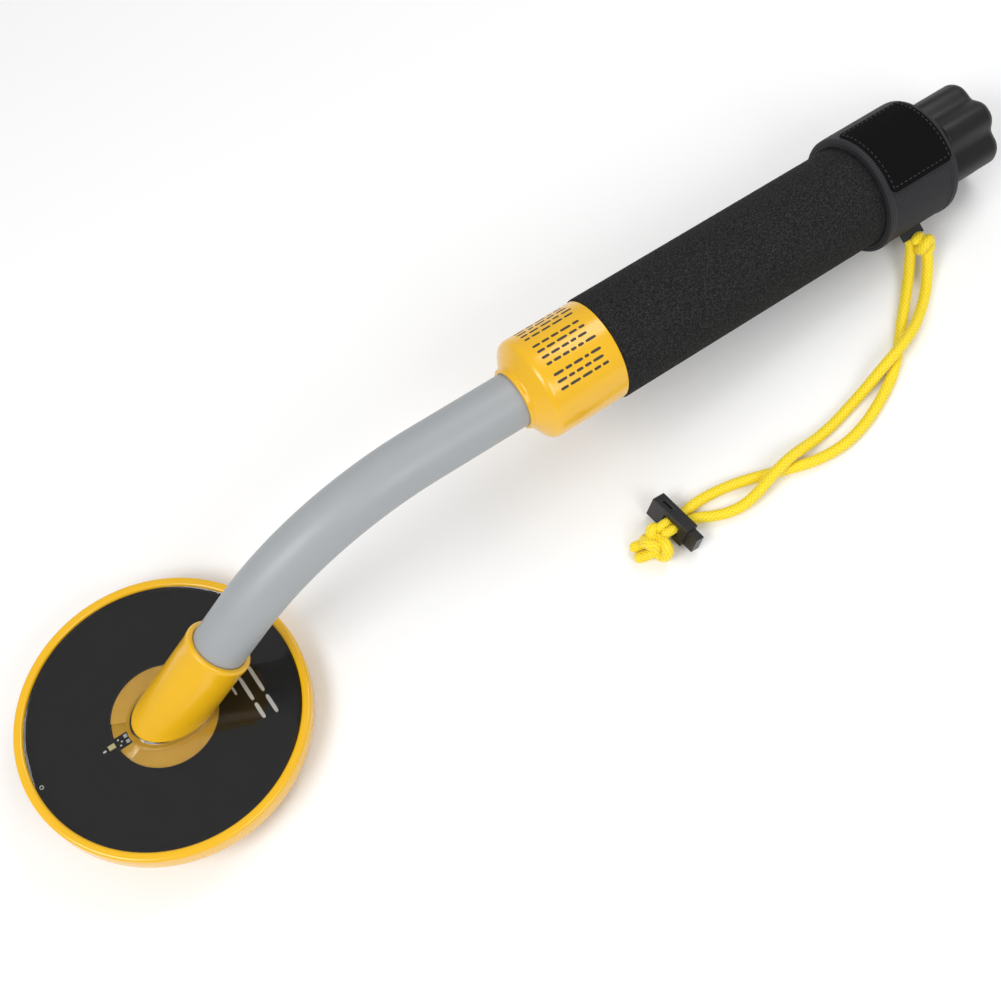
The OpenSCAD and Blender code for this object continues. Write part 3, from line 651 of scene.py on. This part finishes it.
class PROBE_OT_stage(PieceOperator, bpy.types.Operator):
    """Adds a pale floor, an even white surround and three soft lights"""
    bl_idname = "probe.stage"
    bl_label = "Stage"

    def execute(self, context):
        scene = context.scene
        scene.view_settings.view_transform = "Standard"
        half = 8.0
        corners = half * np.array([(-1, -1, 0), (1, -1, 0), (1, 1, 0), (-1, 1, 0)])
        floor = bpy.data.objects.new("floor", new_mesh(corners, [(0, 1, 2, 3)]))
        floor.data.materials.append(start("white_paper", (0.93, 0.93, 0.93), 0.9)[0])
        scene.collection.objects.link(floor)
        world = bpy.data.worlds.new("white surround")
        world.use_nodes = True
        background = world.node_tree.nodes["Background"].inputs
        background["Color"].default_value = (1, 1, 1, 1)
        background["Strength"].default_value = 0.5
        scene.world = world
        # Each soft box: its place, its aim, its size in metres and its power in watts
        boxes = (("key", (-0.75, -0.15, 0.95), (0, 0, 0.02), 0.55, 6.6),
                 ("fill", (0.85, 0.25, 1.0), (0, 0, 0), 0.6, 4.6),
                 ("edge", (0.2, -0.85, 0.8), (0.05, 0, 0.03), 0.5, 3.4))
        for name, spot, aim, side, power in boxes:
            light = bpy.data.lights.new(name, "AREA")
            light.size = side
            light.energy = power
            lamp = bpy.data.objects.new(name, light)
            lamp.location = spot
            lamp.rotation_euler = (Vector(aim) - Vector(spot)).to_track_quat("-Z", "Y").to_euler()
            scene.collection.objects.link(lamp)
        return {"FINISHED"}


# The two strands' routes on the table, in millimetres of the row frame, as the CAD lays them
STRAND_A = ((210, -32, 11), (207, -37.5, 6.6), (202, -43, 3.9), (195.5, -49, 3), (187.5, -54.6, 3.9),
            (180, -59, 5.9), (172.5, -62.2, 7.7), (165, -64.4, 8.1), (157, -66, 7.6),
            (149, -67.4, 5.4), (141, -68.8, 3.4), (131, -70.6, 2.7), (121, -72.4, 2.7),
            (111, -73.4, 3.4), (103.5, -73.8, 5.2), (96, -74.2, 7.2), (88, -75.2, 8.1),
            (80, -76.6, 7.4), (72, -77.8, 5.2), (64, -77.8, 3.3), (56.5, -76, 2.8), (50, -72.8, 2.7),
            (44.8, -69.6, 2.8), (39.2, -68.1, 4), (34.9, -68.5, 6.5), (30.6, -68.9, 9),
            (25.5, -68.4, 9.2))
STRAND_B = ((204.5, -28, 11), (201, -32, 7), (196.5, -36.6, 4), (191, -41.6, 2.8),
            (184.5, -47.4, 2.7), (177.5, -53.4, 2.7), (171, -59.4, 2.7), (164, -65.4, 2.7),
            (157, -70.6, 2.7), (149, -74.8, 2.7), (140, -78.6, 2.7), (131, -81.4, 2.7),
            (122, -83, 2.7), (113, -83, 2.7), (104, -81.4, 2.7), (96, -78.8, 2.7), (88, -75.4, 2.7),
            (80, -71.8, 2.7), (72, -68.6, 2.7), (64, -66, 2.7), (56, -64.2, 2.7), (49.5, -63.4, 2.7),
            (44.3, -63.4, 2.7), (38.9, -63.7, 4), (34.6, -64.1, 6.5), (30.3, -64.5, 9),
            (25, -64.6, 9.2))
# Above the CAD's routes, the cord runs on through the knot to the tab
STRAND_TOPS = {"a": ((206.9, -27.4, 16.6), (209.2, -29.6, 14.4)),
               "b": ((205.6, -26.9, 16.4), (204.9, -26.9, 13.8))}
LOCK_PLACE = np.array([34.5, -64, 6.5])
# How much the lock squeezes a strand's radius: fully up to NEAR from its middle, not past FAR
SQUEEZE, NEAR, FAR = 0.4, 7, 11


class PROBE_OT_knots(PieceOperator, bpy.types.Operator):
    """Ties the lobe of cord at the strap and the overhand knot with two tails at the far end"""
    bl_idname = "probe.knots"
    bl_label = "Knots"

    def execute(self, context):
        cord = braided_polypropylene()
        radius = size("cord_diameter") / 2
        # The lobe: a helix round the line between the knot's two ends
        first, last = np.array([205.0, -27.5, 14.0]), np.array([211.0, -36.4, 13.2])
        turns, phase, coil = 1.75, 0.6, 2.9
        way = unit(last - first)
        side = unit(np.cross(way, (0, 0, 1)))
        t = np.linspace(0, 1, 90)[:, None]
        turn = FULL_TURN * turns * t + phase
        line = (first + (last - first) * (0.12 + 0.76 * t)
                + coil * (np.cos(turn) * side + np.sin(turn) * np.cross(side, way)))
        line = even_steps(line, 0.3)
        piece("strap_lobe", braided(line, radius - 0.1, way), cord, "strap_knot")
        # The knot: a trefoil, x = sin t + 2 sin 2t, y = cos t - 2 cos 2t, z = -sin 3t, squashed
        t = full_turn(400)[:, None]
        half_sizes = (1.5, 2.5, 3.2)
        knot = half_sizes * np.hstack([np.sin(t) + 2 * np.sin(2 * t), np.cos(t) - 2 * np.cos(2 * t),
                                       -np.sin(3 * t)])
        middle = np.array([22.6, -68.4, 6.6])
        lump = braided(knot + middle, radius + 0.1, unit(knot * (1, 1, 0.2) + 1e-6), loop=True)
        piece("end_lump", lump, cord, "end_knot")
        tails = (((21, -66.2, 5.4), (18, -64.4, 3.6), (14.5, -63, 2.8), (11.6, -62.4, 2.7)),
                 ((20.5, -70.8, 5.2), (17.5, -70, 3.5), (14, -68.6, 2.8), (10.4, -67.2, 2.7)))
        for count, tail in enumerate(tails, 1):
            line = smooth_path(tail, 0.3)
            detail(f"tail_{count}", braided(line, radius, (0, 0, 1)), cord, "end_knot")
        return {"FINISHED"}


class PROBE_OT_cords(PieceOperator, bpy.types.Operator):
    """Lays the lanyard's two strands from the strap to the end knot"""
    bl_idname = "probe.cords"
    bl_label = "Cords"

    def execute(self, context):
        cord = braided_polypropylene()
        radius = size("cord_diameter") / 2
        for letter, route in (("a", STRAND_A), ("b", STRAND_B)):
            name, node = f"strand_{letter}", f"lanyard_strand_{letter}"
            line = smooth_path(STRAND_TOPS[letter] + route, 0.33)
            away = np.linalg.norm(line - LOCK_PLACE, axis=1)[:, None]
            near = np.clip((FAR - away) / (FAR - NEAR), 0, 1)
            squeezed = radius - SQUEEZE * near ** 2 * (3 - 2 * near)
            strand = piece(name, braided(line, squeezed, (0, 0, 1)), cord, node)
            size("cord_diameter") * MM
        return {"FINISHED"}


class PROBE_OT_cord_lock(PieceOperator, bpy.types.Operator):
    """Adds the cord lock's case and its plunger"""
    bl_idname = "probe.cord_lock"
    bl_label = "Cord lock"

    def execute(self, context):
        softened("lock_shell", "cord_lock_case", black_acetal(), 0.35)
        softened("lock_slider", "cord_lock_plunger", black_acetal(), 0.3)
        return {"FINISHED"}


# Radii that no CAD node's box gives, in millimetres
RING_RADIUS = 24.2
CABLE_BORE = 9.0
SEEN_RING_DROP = 0.6
PIPE_WALL = 1.9
LEDGE = 1.7


class PROBE_OT_dish(PieceOperator, bpy.types.Operator):
    """Turns the search head's dish: floor, wall with a rolled rim, ledge and middle ring"""
    bl_idname = "probe.dish"
    bl_label = "Dish"

    def execute(self, context):
        radius, _, height = extent("coil_dish", HEAD)[1]
        pocket = extent("potting_resin", HEAD)[1][0]
        low, high = extent("coil_board", HEAD)
        floor = extent("coil_winding", HEAD)[0][2]
        profile = outline((0, 0, 0), (radius, 0, 3.5), (radius, height, 1.6), (pocket, height, 1.4),
                          (pocket, low[2], 0), (pocket - LEDGE, low[2], 0), (pocket - LEDGE, floor, 0.5),
                          (RING_RADIUS, floor, 0.5), (RING_RADIUS, high[2] - SEEN_RING_DROP, 0.4),
                          (0, high[2] - SEEN_RING_DROP, 0))
        piece("dish", turned(profile, HEAD, sides=288), glossy_yellow_abs(), "coil_dish")
        return {"FINISHED"}


class PROBE_OT_resin(PieceOperator, bpy.types.Operator):
    """Pours the clear resin between the dish's wall and the socket's foot"""
    bl_idname = "probe.resin"
    bl_label = "Resin"

    def execute(self, context):
        # Across the top, s runs from the socket's ellipse to the dish's circle. The surface climbs
        # both edges as an exponential of the distance from them.
        low, high = extent("potting_resin", HEAD)
        bottom, top, wall = low[2] - 0.05, high[2], high[0] - 0.02
        socket = extent("stem_socket", STEM)[1][1] - 0.3
        socket_reach, wall_reach = 1.3, 1.6
        angle = full_turn(288)

        def foot(z):
            middle = STEM_FOOT + z / math.tan(STEM_ANGLE)
            return polar(socket, angle, z) * (1 / SLOPE_Z, 1, 1) + (middle, 0, 0)

        across = polar(wall, angle, top) - foot(top)
        k = np.linspace(0, 1, 72)[:, None, None]
        s = k - np.sin(FULL_TURN * k) / FULL_TURN
        upper = foot(top) + s * across
        from_foot = s[..., 0] * np.linalg.norm(across, axis=1)
        from_wall = (1 - s[..., 0]) * np.linalg.norm(across, axis=1)
        upper[..., 2] += size("meniscus") * (np.exp(-from_foot / socket_reach)
                                             + np.exp(-from_wall / wall_reach))
        under = np.stack([polar(wall, angle, bottom), foot(bottom)])
        made = surface(place(np.vstack([upper, under]), HEAD), closed=True, sharp=60)
        piece("resin", made, clear_potting_resin(), "potting_resin")
        return {"FINISHED"}


class PROBE_OT_board_marks(PieceOperator, bpy.types.Operator):
    """Prints plain white bars, a small ring and the lamp's corner marks on the head's board"""
    bl_idname = "probe.board_marks"
    bl_label = "Board marks"

    def execute(self, context):
        z = extent("coil_board", HEAD)[1][2] + 0.04
        white = moulded("white_silkscreen", linear("F2F2EE"), 0.6, grain=0.4)
        # Each bar: place across the board, place along it, length, width
        words = [(36, -22.8, 8.5, 1.8), (36, -10.5, 13, 1.8), (36, 2.5, 9, 1.8), (42, -23, 10, 1.8),
                 (42, -8.5, 15, 1.8), (42, 6, 10, 1.8), (31, -8, 5, 1.1)]
        dots = [(-22.4, 1.5, 0.8, 0.8), (-22.4, -1.5, 0.8, 0.8), (-21.2, 0, 0.7, 0.7),
                (-29.6, 0, 0.9, 1.6)]
        x, y, span, width = np.array(words + dots).T
        centres = np.stack([x, y, z + 0 * x], -1)
        halves = np.stack([span, -width], -1)[..., None] / 2 * ((0, 1, 0), (1, 0, 0))
        detail("board_print", bars(centres, halves, HEAD), white, "coil_board")
        spot = HEAD.copy()
        spot[:3, 3] = place(np.array([-59.6, 1.6, 0]), HEAD)
        ring = outline((0.6, z, 0), (1.05, z, 0), (1.05, z + 0.05, 0), (0.6, z + 0.05, 0))
        detail("ring_mark", turned(ring, spot, closed=True, sides=32), white, "coil_board")
        lens = moulded("phosphor_lens", linear("E9E2A8"), 0.3, grain=0.3, Subsurface_Weight=0.2,
                       Subsurface_Scale=0.001)
        softened("lamp", "indicator_led", lens, 0.2)
        return {"FINISHED"}


class PROBE_OT_socket(PieceOperator, bpy.types.Operator):
    """Lofts the slanted socket: a foot that follows the board's plane, and a rolled mouth"""
    bl_idname = "probe.socket"
    bl_label = "Socket"

    def execute(self, context):
        # A height h over the search face is (h + r cos a cos 45) / sin 45 along the socket's axis
        high = extent("stem_socket", STEM)[1]
        radius, mouth = high[1], high[2]
        bore = STEM_RADIUS + 0.06
        seat = extent("stem_tube", STEM)[0][2]
        board = extent("potting_resin", HEAD)[0][2] - 0.3
        angle = full_turn(288)
        fillet, lip = size("foot_fillet"), size("lip")

        def along(h, r):
            return (h + r * np.cos(angle) * SLOPE_X) / SLOPE_Z

        phi = np.linspace(0, math.pi / 2, 8)
        flare = radius + fillet * (1 - np.sin(phi))
        rise = board + fillet * (1 - np.cos(phi))
        rows = [(r, along(h, r)) for r, h in zip(flare, rise)]
        rim = outline((radius, mouth - 9, 0), (radius, mouth - 6, 0), (radius + 0.35, mouth - 2, 2),
                      (radius + 0.35, mouth, lip), (bore, mouth, 0.7), (bore, mouth - 3, 0),
                      (bore, seat, 0), (CABLE_BORE, seat, 0), (CABLE_BORE, seat - 1, 0))
        rows += [tuple(point) for point in rim]
        rows.append((CABLE_BORE, along(board, CABLE_BORE)))
        made = turned(rows, STEM, closed=True, sides=len(angle))
        piece("socket", made, glossy_yellow_abs(), "stem_socket")
        return {"FINISHED"}


class PROBE_OT_stem(PieceOperator, bpy.types.Operator):
    """Bends the stem pipe: a straight, an arc of 45 degrees and a straight"""
    bl_idname = "probe.stem"
    bl_label = "Stem"

    def execute(self, context):
        x = STEM_FOOT + STEM_RISE * SLOPE_X + BEND_RADIUS * SLOPE_Z
        z = STEM_RISE * SLOPE_Z + BEND_RADIUS * (1 - SLOPE_X)
        # The arc turns from the stem's slope to the handle's: x - R sin phi, z - R (1 - cos phi)
        phi = np.linspace(STEM_ANGLE, 0, 72)
        arc = place(polar(BEND_RADIUS, phi + math.pi / 2)[:, [0, 2, 1]] + (x, 0, z - BEND_RADIUS), HEAD)
        seat, end = extent("stem_tube", STEM)[0][2], extent("stem_tube", HANDLE)[1][2]
        bend_end = (arc[-1] - HANDLE[:3, 3]) @ HANDLE[:3, 2] / MM
        lower = place(polar(0, 0, np.linspace(seat, STEM_RISE, 10)[:-1]), STEM)
        upper = place(polar(0, 0, np.linspace(bend_end, end, 8)[1:]), HANDLE)
        path = np.vstack([lower, arc, upper])
        way = unit(np.gradient(path, axis=0))
        side = np.array([0.0, 1.0, 0.0])
        turn = full_turn(160)[:, None]
        ring = np.cos(turn) * side + np.sin(turn) * np.cross(way, side)[:, None]
        outside, inside = (path[:, None] + r * MM * ring for r in (STEM_RADIUS, STEM_RADIUS - PIPE_WALL))
        wall = np.vstack([outside, inside[::-1]])
        piece("stem", surface(wall, closed=True), satin_grey_pvc(), "stem_tube")
        return {"FINISHED"}


class PROBE_OT_front_cap(PieceOperator, bpy.types.Operator):
    """Turns the front cap and prints rows of plain dark bars where the instructions go"""
    bl_idname = "probe.front_cap"
    bl_label = "Front cap"

    def execute(self, context):
        low, high = extent("front_cap", HANDLE)
        stem, tube = STEM_RADIUS + 0.05, TUBE_RADIUS + 0.05
        radius, z = high[1], low[2]
        web = z + 20
        neck = stem + 1.9
        profile = outline((stem, z + 12, 0), (stem, z, 0.4), (neck, z, 0.7), (neck, z + 2.2, 1.4),
                          (radius, z + 7.8, 4.2), (radius, high[2], 0.6), (tube, high[2], 0),
                          (tube, web, 0), (stem, web, 0), (stem, z + 13, 0))
        piece("cap", turned(profile, HANDLE, closed=True), glossy_yellow_abs(), "front_cap")
        # Each block: the angle of its first line round the cap, and how many lines it has. Their
        # words are of random length.
        blocks = ((131.5, 4), (170.5, 4), (208, 3))
        pitch, gap, half_height, margin, shoulder = 8.2, 1.0, 0.62, 4, 13
        centres, halves = [], []
        draw = np.random.default_rng(4)
        for angle in np.radians([first + pitch * k for first, lines in blocks for k in range(lines)]):
            out, across = polar(1, angle), polar(1, angle + math.pi / 2)
            words = draw.uniform(2.0, 5.4, 6)
            starts = z + shoulder + np.concatenate([[0], np.cumsum(words + gap)[:-1]])
            keep = starts + words < high[2] - margin
            for first, word in zip(starts[keep], words[keep]):
                centres.append(out * (radius + 0.01) + (0, 0, first + word / 2))
                halves.append([(0, 0, word / 2), across * half_height])
        ink = moulded("black_pad_print", linear("3A3226"), 0.55, grain=0.5)
        words = bars(np.array(centres), np.array(halves), HANDLE, 0.03)
        detail("cap_print", words, ink, "front_cap")
        return {"FINISHED"}


class PROBE_OT_grip(PieceOperator, bpy.types.Operator):
    """Turns the foam grip, with soft ends"""
    bl_idname = "probe.grip"
    bl_label = "Foam grip"

    def execute(self, context):
        low, high = extent("foam_grip", HANDLE)
        profile = outline((TUBE_RADIUS, low[2] + 5, 0), (TUBE_RADIUS, low[2], 0),
                          (high[1], low[2], 1.1), (high[1], high[2], 1.6),
                          (TUBE_RADIUS, high[2], 0), (TUBE_RADIUS, high[2] - 5, 0))
        grip = piece("grip", turned(profile, HANDLE, closed=True), closed_cell_foam(), "foam_grip")
        return {"FINISHED"}


def strap_wrap(first, last, radius, thick, middle, half):
    """Points of a strip wrapped round the handle, its section a flattened ring at each angle. Its
    half width falls as a quarter circle at its corners, and its thickness as a half ellipse at its
    ends."""
    corner, end_reach = 3.0, 0.4
    k = np.linspace(0, 1, 220)
    s = (last - first) * (k - np.sin(FULL_TURN * k) / FULL_TURN)
    end = np.minimum(s, last - first - s) * radius
    width = half - corner + np.sqrt(corner ** 2 - (corner - np.minimum(end, corner)) ** 2)
    depth = thick / 2 * np.sqrt(1 - (1 - np.minimum(end / end_reach, 1)) ** 2)
    q = full_turn(72)
    z = middle + width[:, None] * np.sign(np.cos(q)) * np.abs(np.cos(q)) ** 0.12
    r = radius + thick / 2 + depth[:, None] * np.sign(np.sin(q)) * np.abs(np.sin(q)) ** 0.6
    turn = (first + s)[:, None]
    return place(polar(r, turn, z), HANDLE)


class PROBE_OT_strap(PieceOperator, bpy.types.Operator):
    """Winds the strap: a ribbed inner turn, a second turn over it, a tape patch and stitches"""
    bl_idname = "probe.strap"
    bl_label = "Strap"

    def execute(self, context):
        # The inner turn's section has a bound edge on each side, and its face is cut by ribs
        # parallel to the handle: r falls by the rib's depth times (1 - cos(n a)) / 2
        low, high = extent("strap_band", HANDLE)
        inner = extent("foam_grip", HANDLE)[1][1]
        outer, start_z, end_z = high[1], low[2], high[2]
        middle, half = (start_z + end_z) / 2, (end_z - start_z) / 2
        edge, edge_h = 3.2, 0.4
        section = outline((inner, start_z + 20, 0), (inner, start_z, 0.8),
                          (outer + edge_h, start_z, 0.9), (outer + edge_h, start_z + edge, 0.3),
                          (outer, start_z + edge + 0.3, 0), (outer, start_z + edge + 0.8, 0),
                          (outer, end_z - edge - 0.8, 0), (outer, end_z - edge - 0.3, 0),
                          (outer + edge_h, end_z - edge, 0.3), (outer + edge_h, end_z, 0.9),
                          (inner, end_z, 0.8), (inner, start_z + 21, 0))
        ribs = round(FULL_TURN * outer / size("rib_pitch"))
        angle = full_turn(ribs * 8)
        cut = size("rib_depth") * (1 - np.cos(ribs * angle)) / 2
        face = (section[:, 0] > outer - 0.01) & (np.abs(section[:, 1] - middle) < half - edge - 0.5)
        rows = [(r - cut * f, h) for (r, h), f in zip(section, face)]
        inner_turn = turned(rows, HANDLE, closed=True, sides=len(angle), sharp=60)
        piece("strap_inner", inner_turn, ribbed_nylon_webbing(), "strap_band")

        # The outer turn of webbing goes most of the way round, and a tape patch lies on its end
        webbing, tape = 0.9, 0.6
        first, last = math.radians(-20), math.radians(226)
        turn = strap_wrap(first, last, outer - 0.05, webbing, middle, half - 0.6)
        piece("strap_outer", surface(turn, sharp=70), ribbed_nylon_webbing(), "strap_flap")
        first, half = math.radians(143), half - 2.6
        patch = strap_wrap(first, last + math.radians(0.7), outer + webbing - 0.1, tape, middle, half)
        detail("strap_tape", surface(patch, sharp=70), brushed_loop_tape(), "strap_flap")

        # Two seams run round the patch, and one crosses each of its ends
        top, pitch = outer + webbing + tape - 0.13, size("stitch_pitch")
        side_inset, end_inset = 1.6, 2.0
        round_it = np.arange(first + 0.1, last - 0.08, pitch / top)
        across = np.arange(-half + 2 * side_inset + 0.2, half - 2 * side_inset, pitch)
        ends = np.repeat([first + end_inset / top, last - end_inset / top], len(across))
        angles = np.concatenate([round_it, round_it, ends])
        seam = 0 * round_it + half - side_inset
        heights = middle + np.concatenate([seam, -seam, across, across])
        ups, ways = polar(1, angles), polar(1, angles + math.pi / 2)
        ways[-len(ends):] = (0, 0, 1)
        middles = polar(top, angles, heights)
        thread = moulded("bonded_nylon_thread", linear("2A2A2D"), 0.6, grain=0.3)
        detail("strap_stitches", stitches(middles, ways, ups, 1.9, 0.24), thread, "strap_flap")
        softened("tab_loop", "lanyard_tab", inner_finishes()["black_webbing"], 0.3)
        return {"FINISHED"}


class PROBE_OT_knob(PieceOperator, bpy.types.Operator):
    """Lofts the lobed knob, and rounds the edges of the plug's flange under it and of the washer"""
    bl_idname = "probe.knob"
    bl_label = "Knob"

    def execute(self, context):
        # Six lobes: r = R - d ((1 - cos 6a) / 2) ^ 1.5, so that the lobes are broad and the valleys
        # narrow, and every row of the rounded ends is that outline drawn in by its arc
        low, high = extent("knob", HANDLE)
        radius, z, lobes, first_lobe = 22.4, low[2], 6, math.radians(25)
        angle = full_turn(288)
        valley = ((1 - np.cos(lobes * (angle - first_lobe))) / 2) ** 1.5
        side = radius - size("valley") * valley
        collar, top, under, edge = 15.0, high[2], 1.6, size("knob_round")
        base = z + 1.4
        nut = extent("knob_nut", HANDLE)[1]
        rows = [(0, top - 4.5), (4.3, top - 4.5), (4.3, nut[2] + 0.1), (nut[1] + 0.05, nut[2] + 0.1),
                (nut[1] + 0.05, z + 0.3), (nut[1] + 0.35, z), (collar - 0.4, z), (collar, z + 0.4),
                (collar, base)]
        turn = np.linspace(0, math.pi / 2, 7)
        rows += [(side - under * (1 - np.sin(t)), base + under * (1 - np.cos(t))) for t in turn]
        turn = np.linspace(0, math.pi / 2, 14)
        rows += [(side - edge * (1 - np.cos(t)), top - edge + edge * np.sin(t)) for t in turn]
        rows += [((side - edge) * q, top - 0.5 * (1 - q ** 2)) for q in (0.85, 0.7, 0.5, 0.3, 0.15)]
        rows.append((0, top - 0.5))
        made = turned(rows, HANDLE, sides=len(angle), sharp=50)
        piece("knob_lobes", made, satin_black_nylon(), "knob")
        softened("plug_flange", "plug_cap", satin_black_nylon(), 0.5)
        softened("washer", "knob_washer", inner_finishes()["plated_steel"], 0.2)
        return {"FINISHED"}


class PROBE_OT_plug(PieceOperator, bpy.types.Operator):
    """Adds the plug's inner pieces: the ribbed gasket, the threaded bolt and the battery's pad"""
    bl_idname = "probe.plug"
    bl_label = "Plug"

    def execute(self, context):
        low, high = extent("plug_gasket", HANDLE)
        hole, radius, groove = 4.1, high[1], 0.9
        third = (high[2] - low[2]) / 3
        corners = [(hole, low[2] + 1, 0), (hole, low[2], 0.3)]
        for count in range(3):
            first = low[2] + count * third
            corners += [(radius, first, 0.5), (radius, first + third - 1.2, 0.4)]
            if count < 2:
                corners += [(radius - groove, first + third - 0.9, 0.2),
                            (radius - groove, first + third - 0.3, 0.2)]
        corners[-1] = (radius, high[2], 0.5)
        corners += [(hole, high[2], 0.3), (hole, low[2] + 2, 0)]
        piece("gasket", turned(outline(*corners), HANDLE, closed=True),
              inner_finishes()["seal_rubber"], "plug_gasket")

        # The bolt: a hexagon whose radius is its half width over cos, then a thread whose radius
        # falls by a triangle wave of height over pitch less angle
        low, high = extent("plug_bolt", HANDLE)
        angle = full_turn(96)
        flat, head, shank, pitch, cut = 6.5, 5.0, 4.0, 1.25, 0.5
        hexagon = flat / np.cos(angle % (math.pi / 3) - math.pi / 6)
        rows = [(0, low[2]), (flat - 0.4, low[2]), (hexagon, low[2] + 0.5),
                (hexagon, low[2] + head), (shank, low[2] + head)]
        for z in np.arange(low[2] + head + 0.3, high[2] - 0.6, pitch / 8):
            wave = np.abs(2 * ((z / pitch - angle / FULL_TURN) % 1) - 1)
            rows.append((shank - cut * wave, z))
        rows += [(shank - cut - 0.1, high[2] - 0.2), (shank - 0.8, high[2]), (0, high[2])]
        bolt = turned(rows, HANDLE, sides=len(angle))
        piece("bolt", bolt, inner_finishes()["plated_steel"], "plug_bolt")

        low, high = extent("battery_pad", HANDLE)
        profile = outline((0, low[2], 0), (high[1], low[2], 1.1), (high[1], high[2], 1.1),
                          (0, high[2], 0))
        pad = piece("pad", turned(profile, HANDLE, sides=96), inner_finishes()["grey_foam"],
                    "battery_pad")
        softened("battery_can", "battery", battery_wrapper(), 0.6)
        softened("snap", "battery_snap", inner_finishes()["snap_black"], 0.5)
        return {"FINISHED"}


class PROBE_OT_inner_finishes(PieceOperator, bpy.types.Operator):
    """Gives every CAD node that stays as it is the finish of its material slot"""
    bl_idname = "probe.inner_finishes"
    bl_label = "Inner finishes"

    def execute(self, context):
        finishes = inner_finishes()
        for name, node in frame["nodes"].items():
            if not node.hide_render:
                for slot in node.material_slots:
                    slot.material = finishes[SLOT_OF[name]]
        return {"FINISHED"}


class PROBE_PT_panel(bpy.types.Panel):
    """Lists the pieces, sizes and colours"""
    bl_label = "Pinpointer probe"
    bl_idname = "PROBE_PT_panel"
    bl_space_type = "VIEW_3D"
    bl_region_type = "UI"
    bl_category = "Probe"

    def draw(self, context):
        column = self.layout.column(align=True)
        for operator in OPERATORS:
            column.operator(operator.bl_idname, text=operator.bl_label)
        for group in (context.scene.probe_sizes, context.scene.probe_colours):
            box = self.layout.box()
            for name in group.bl_rna.properties.keys():
                if name not in ("rna_type", "name"):
                    box.prop(group, name)


OPERATORS = (PROBE_OT_camera, PROBE_OT_knots, PROBE_OT_cord_lock, PROBE_OT_cords, PROBE_OT_stage,
             PROBE_OT_dish, PROBE_OT_resin, PROBE_OT_board_marks, PROBE_OT_socket, PROBE_OT_stem,
             PROBE_OT_front_cap, PROBE_OT_grip, PROBE_OT_strap, PROBE_OT_knob, PROBE_OT_plug,
             PROBE_OT_inner_finishes)
CLASSES = (ProbeColours, ProbeSizes, *OPERATORS, PROBE_PT_panel)


def register():
    for made in CLASSES:
        bpy.utils.register_class(made)
    bpy.types.Scene.probe_colours = PointerProperty(type=ProbeColours)
    bpy.types.Scene.probe_sizes = PointerProperty(type=ProbeSizes)


def unregister():
    del bpy.types.Scene.probe_sizes
    del bpy.types.Scene.probe_colours
    for made in reversed(CLASSES):
        bpy.utils.unregister_class(made)


def main():
    register()
    for operator in OPERATORS:
        group, name = operator.bl_idname.split(".")
        getattr(getattr(bpy.ops, group), name)()


if __name__ == "__main__":
    main()
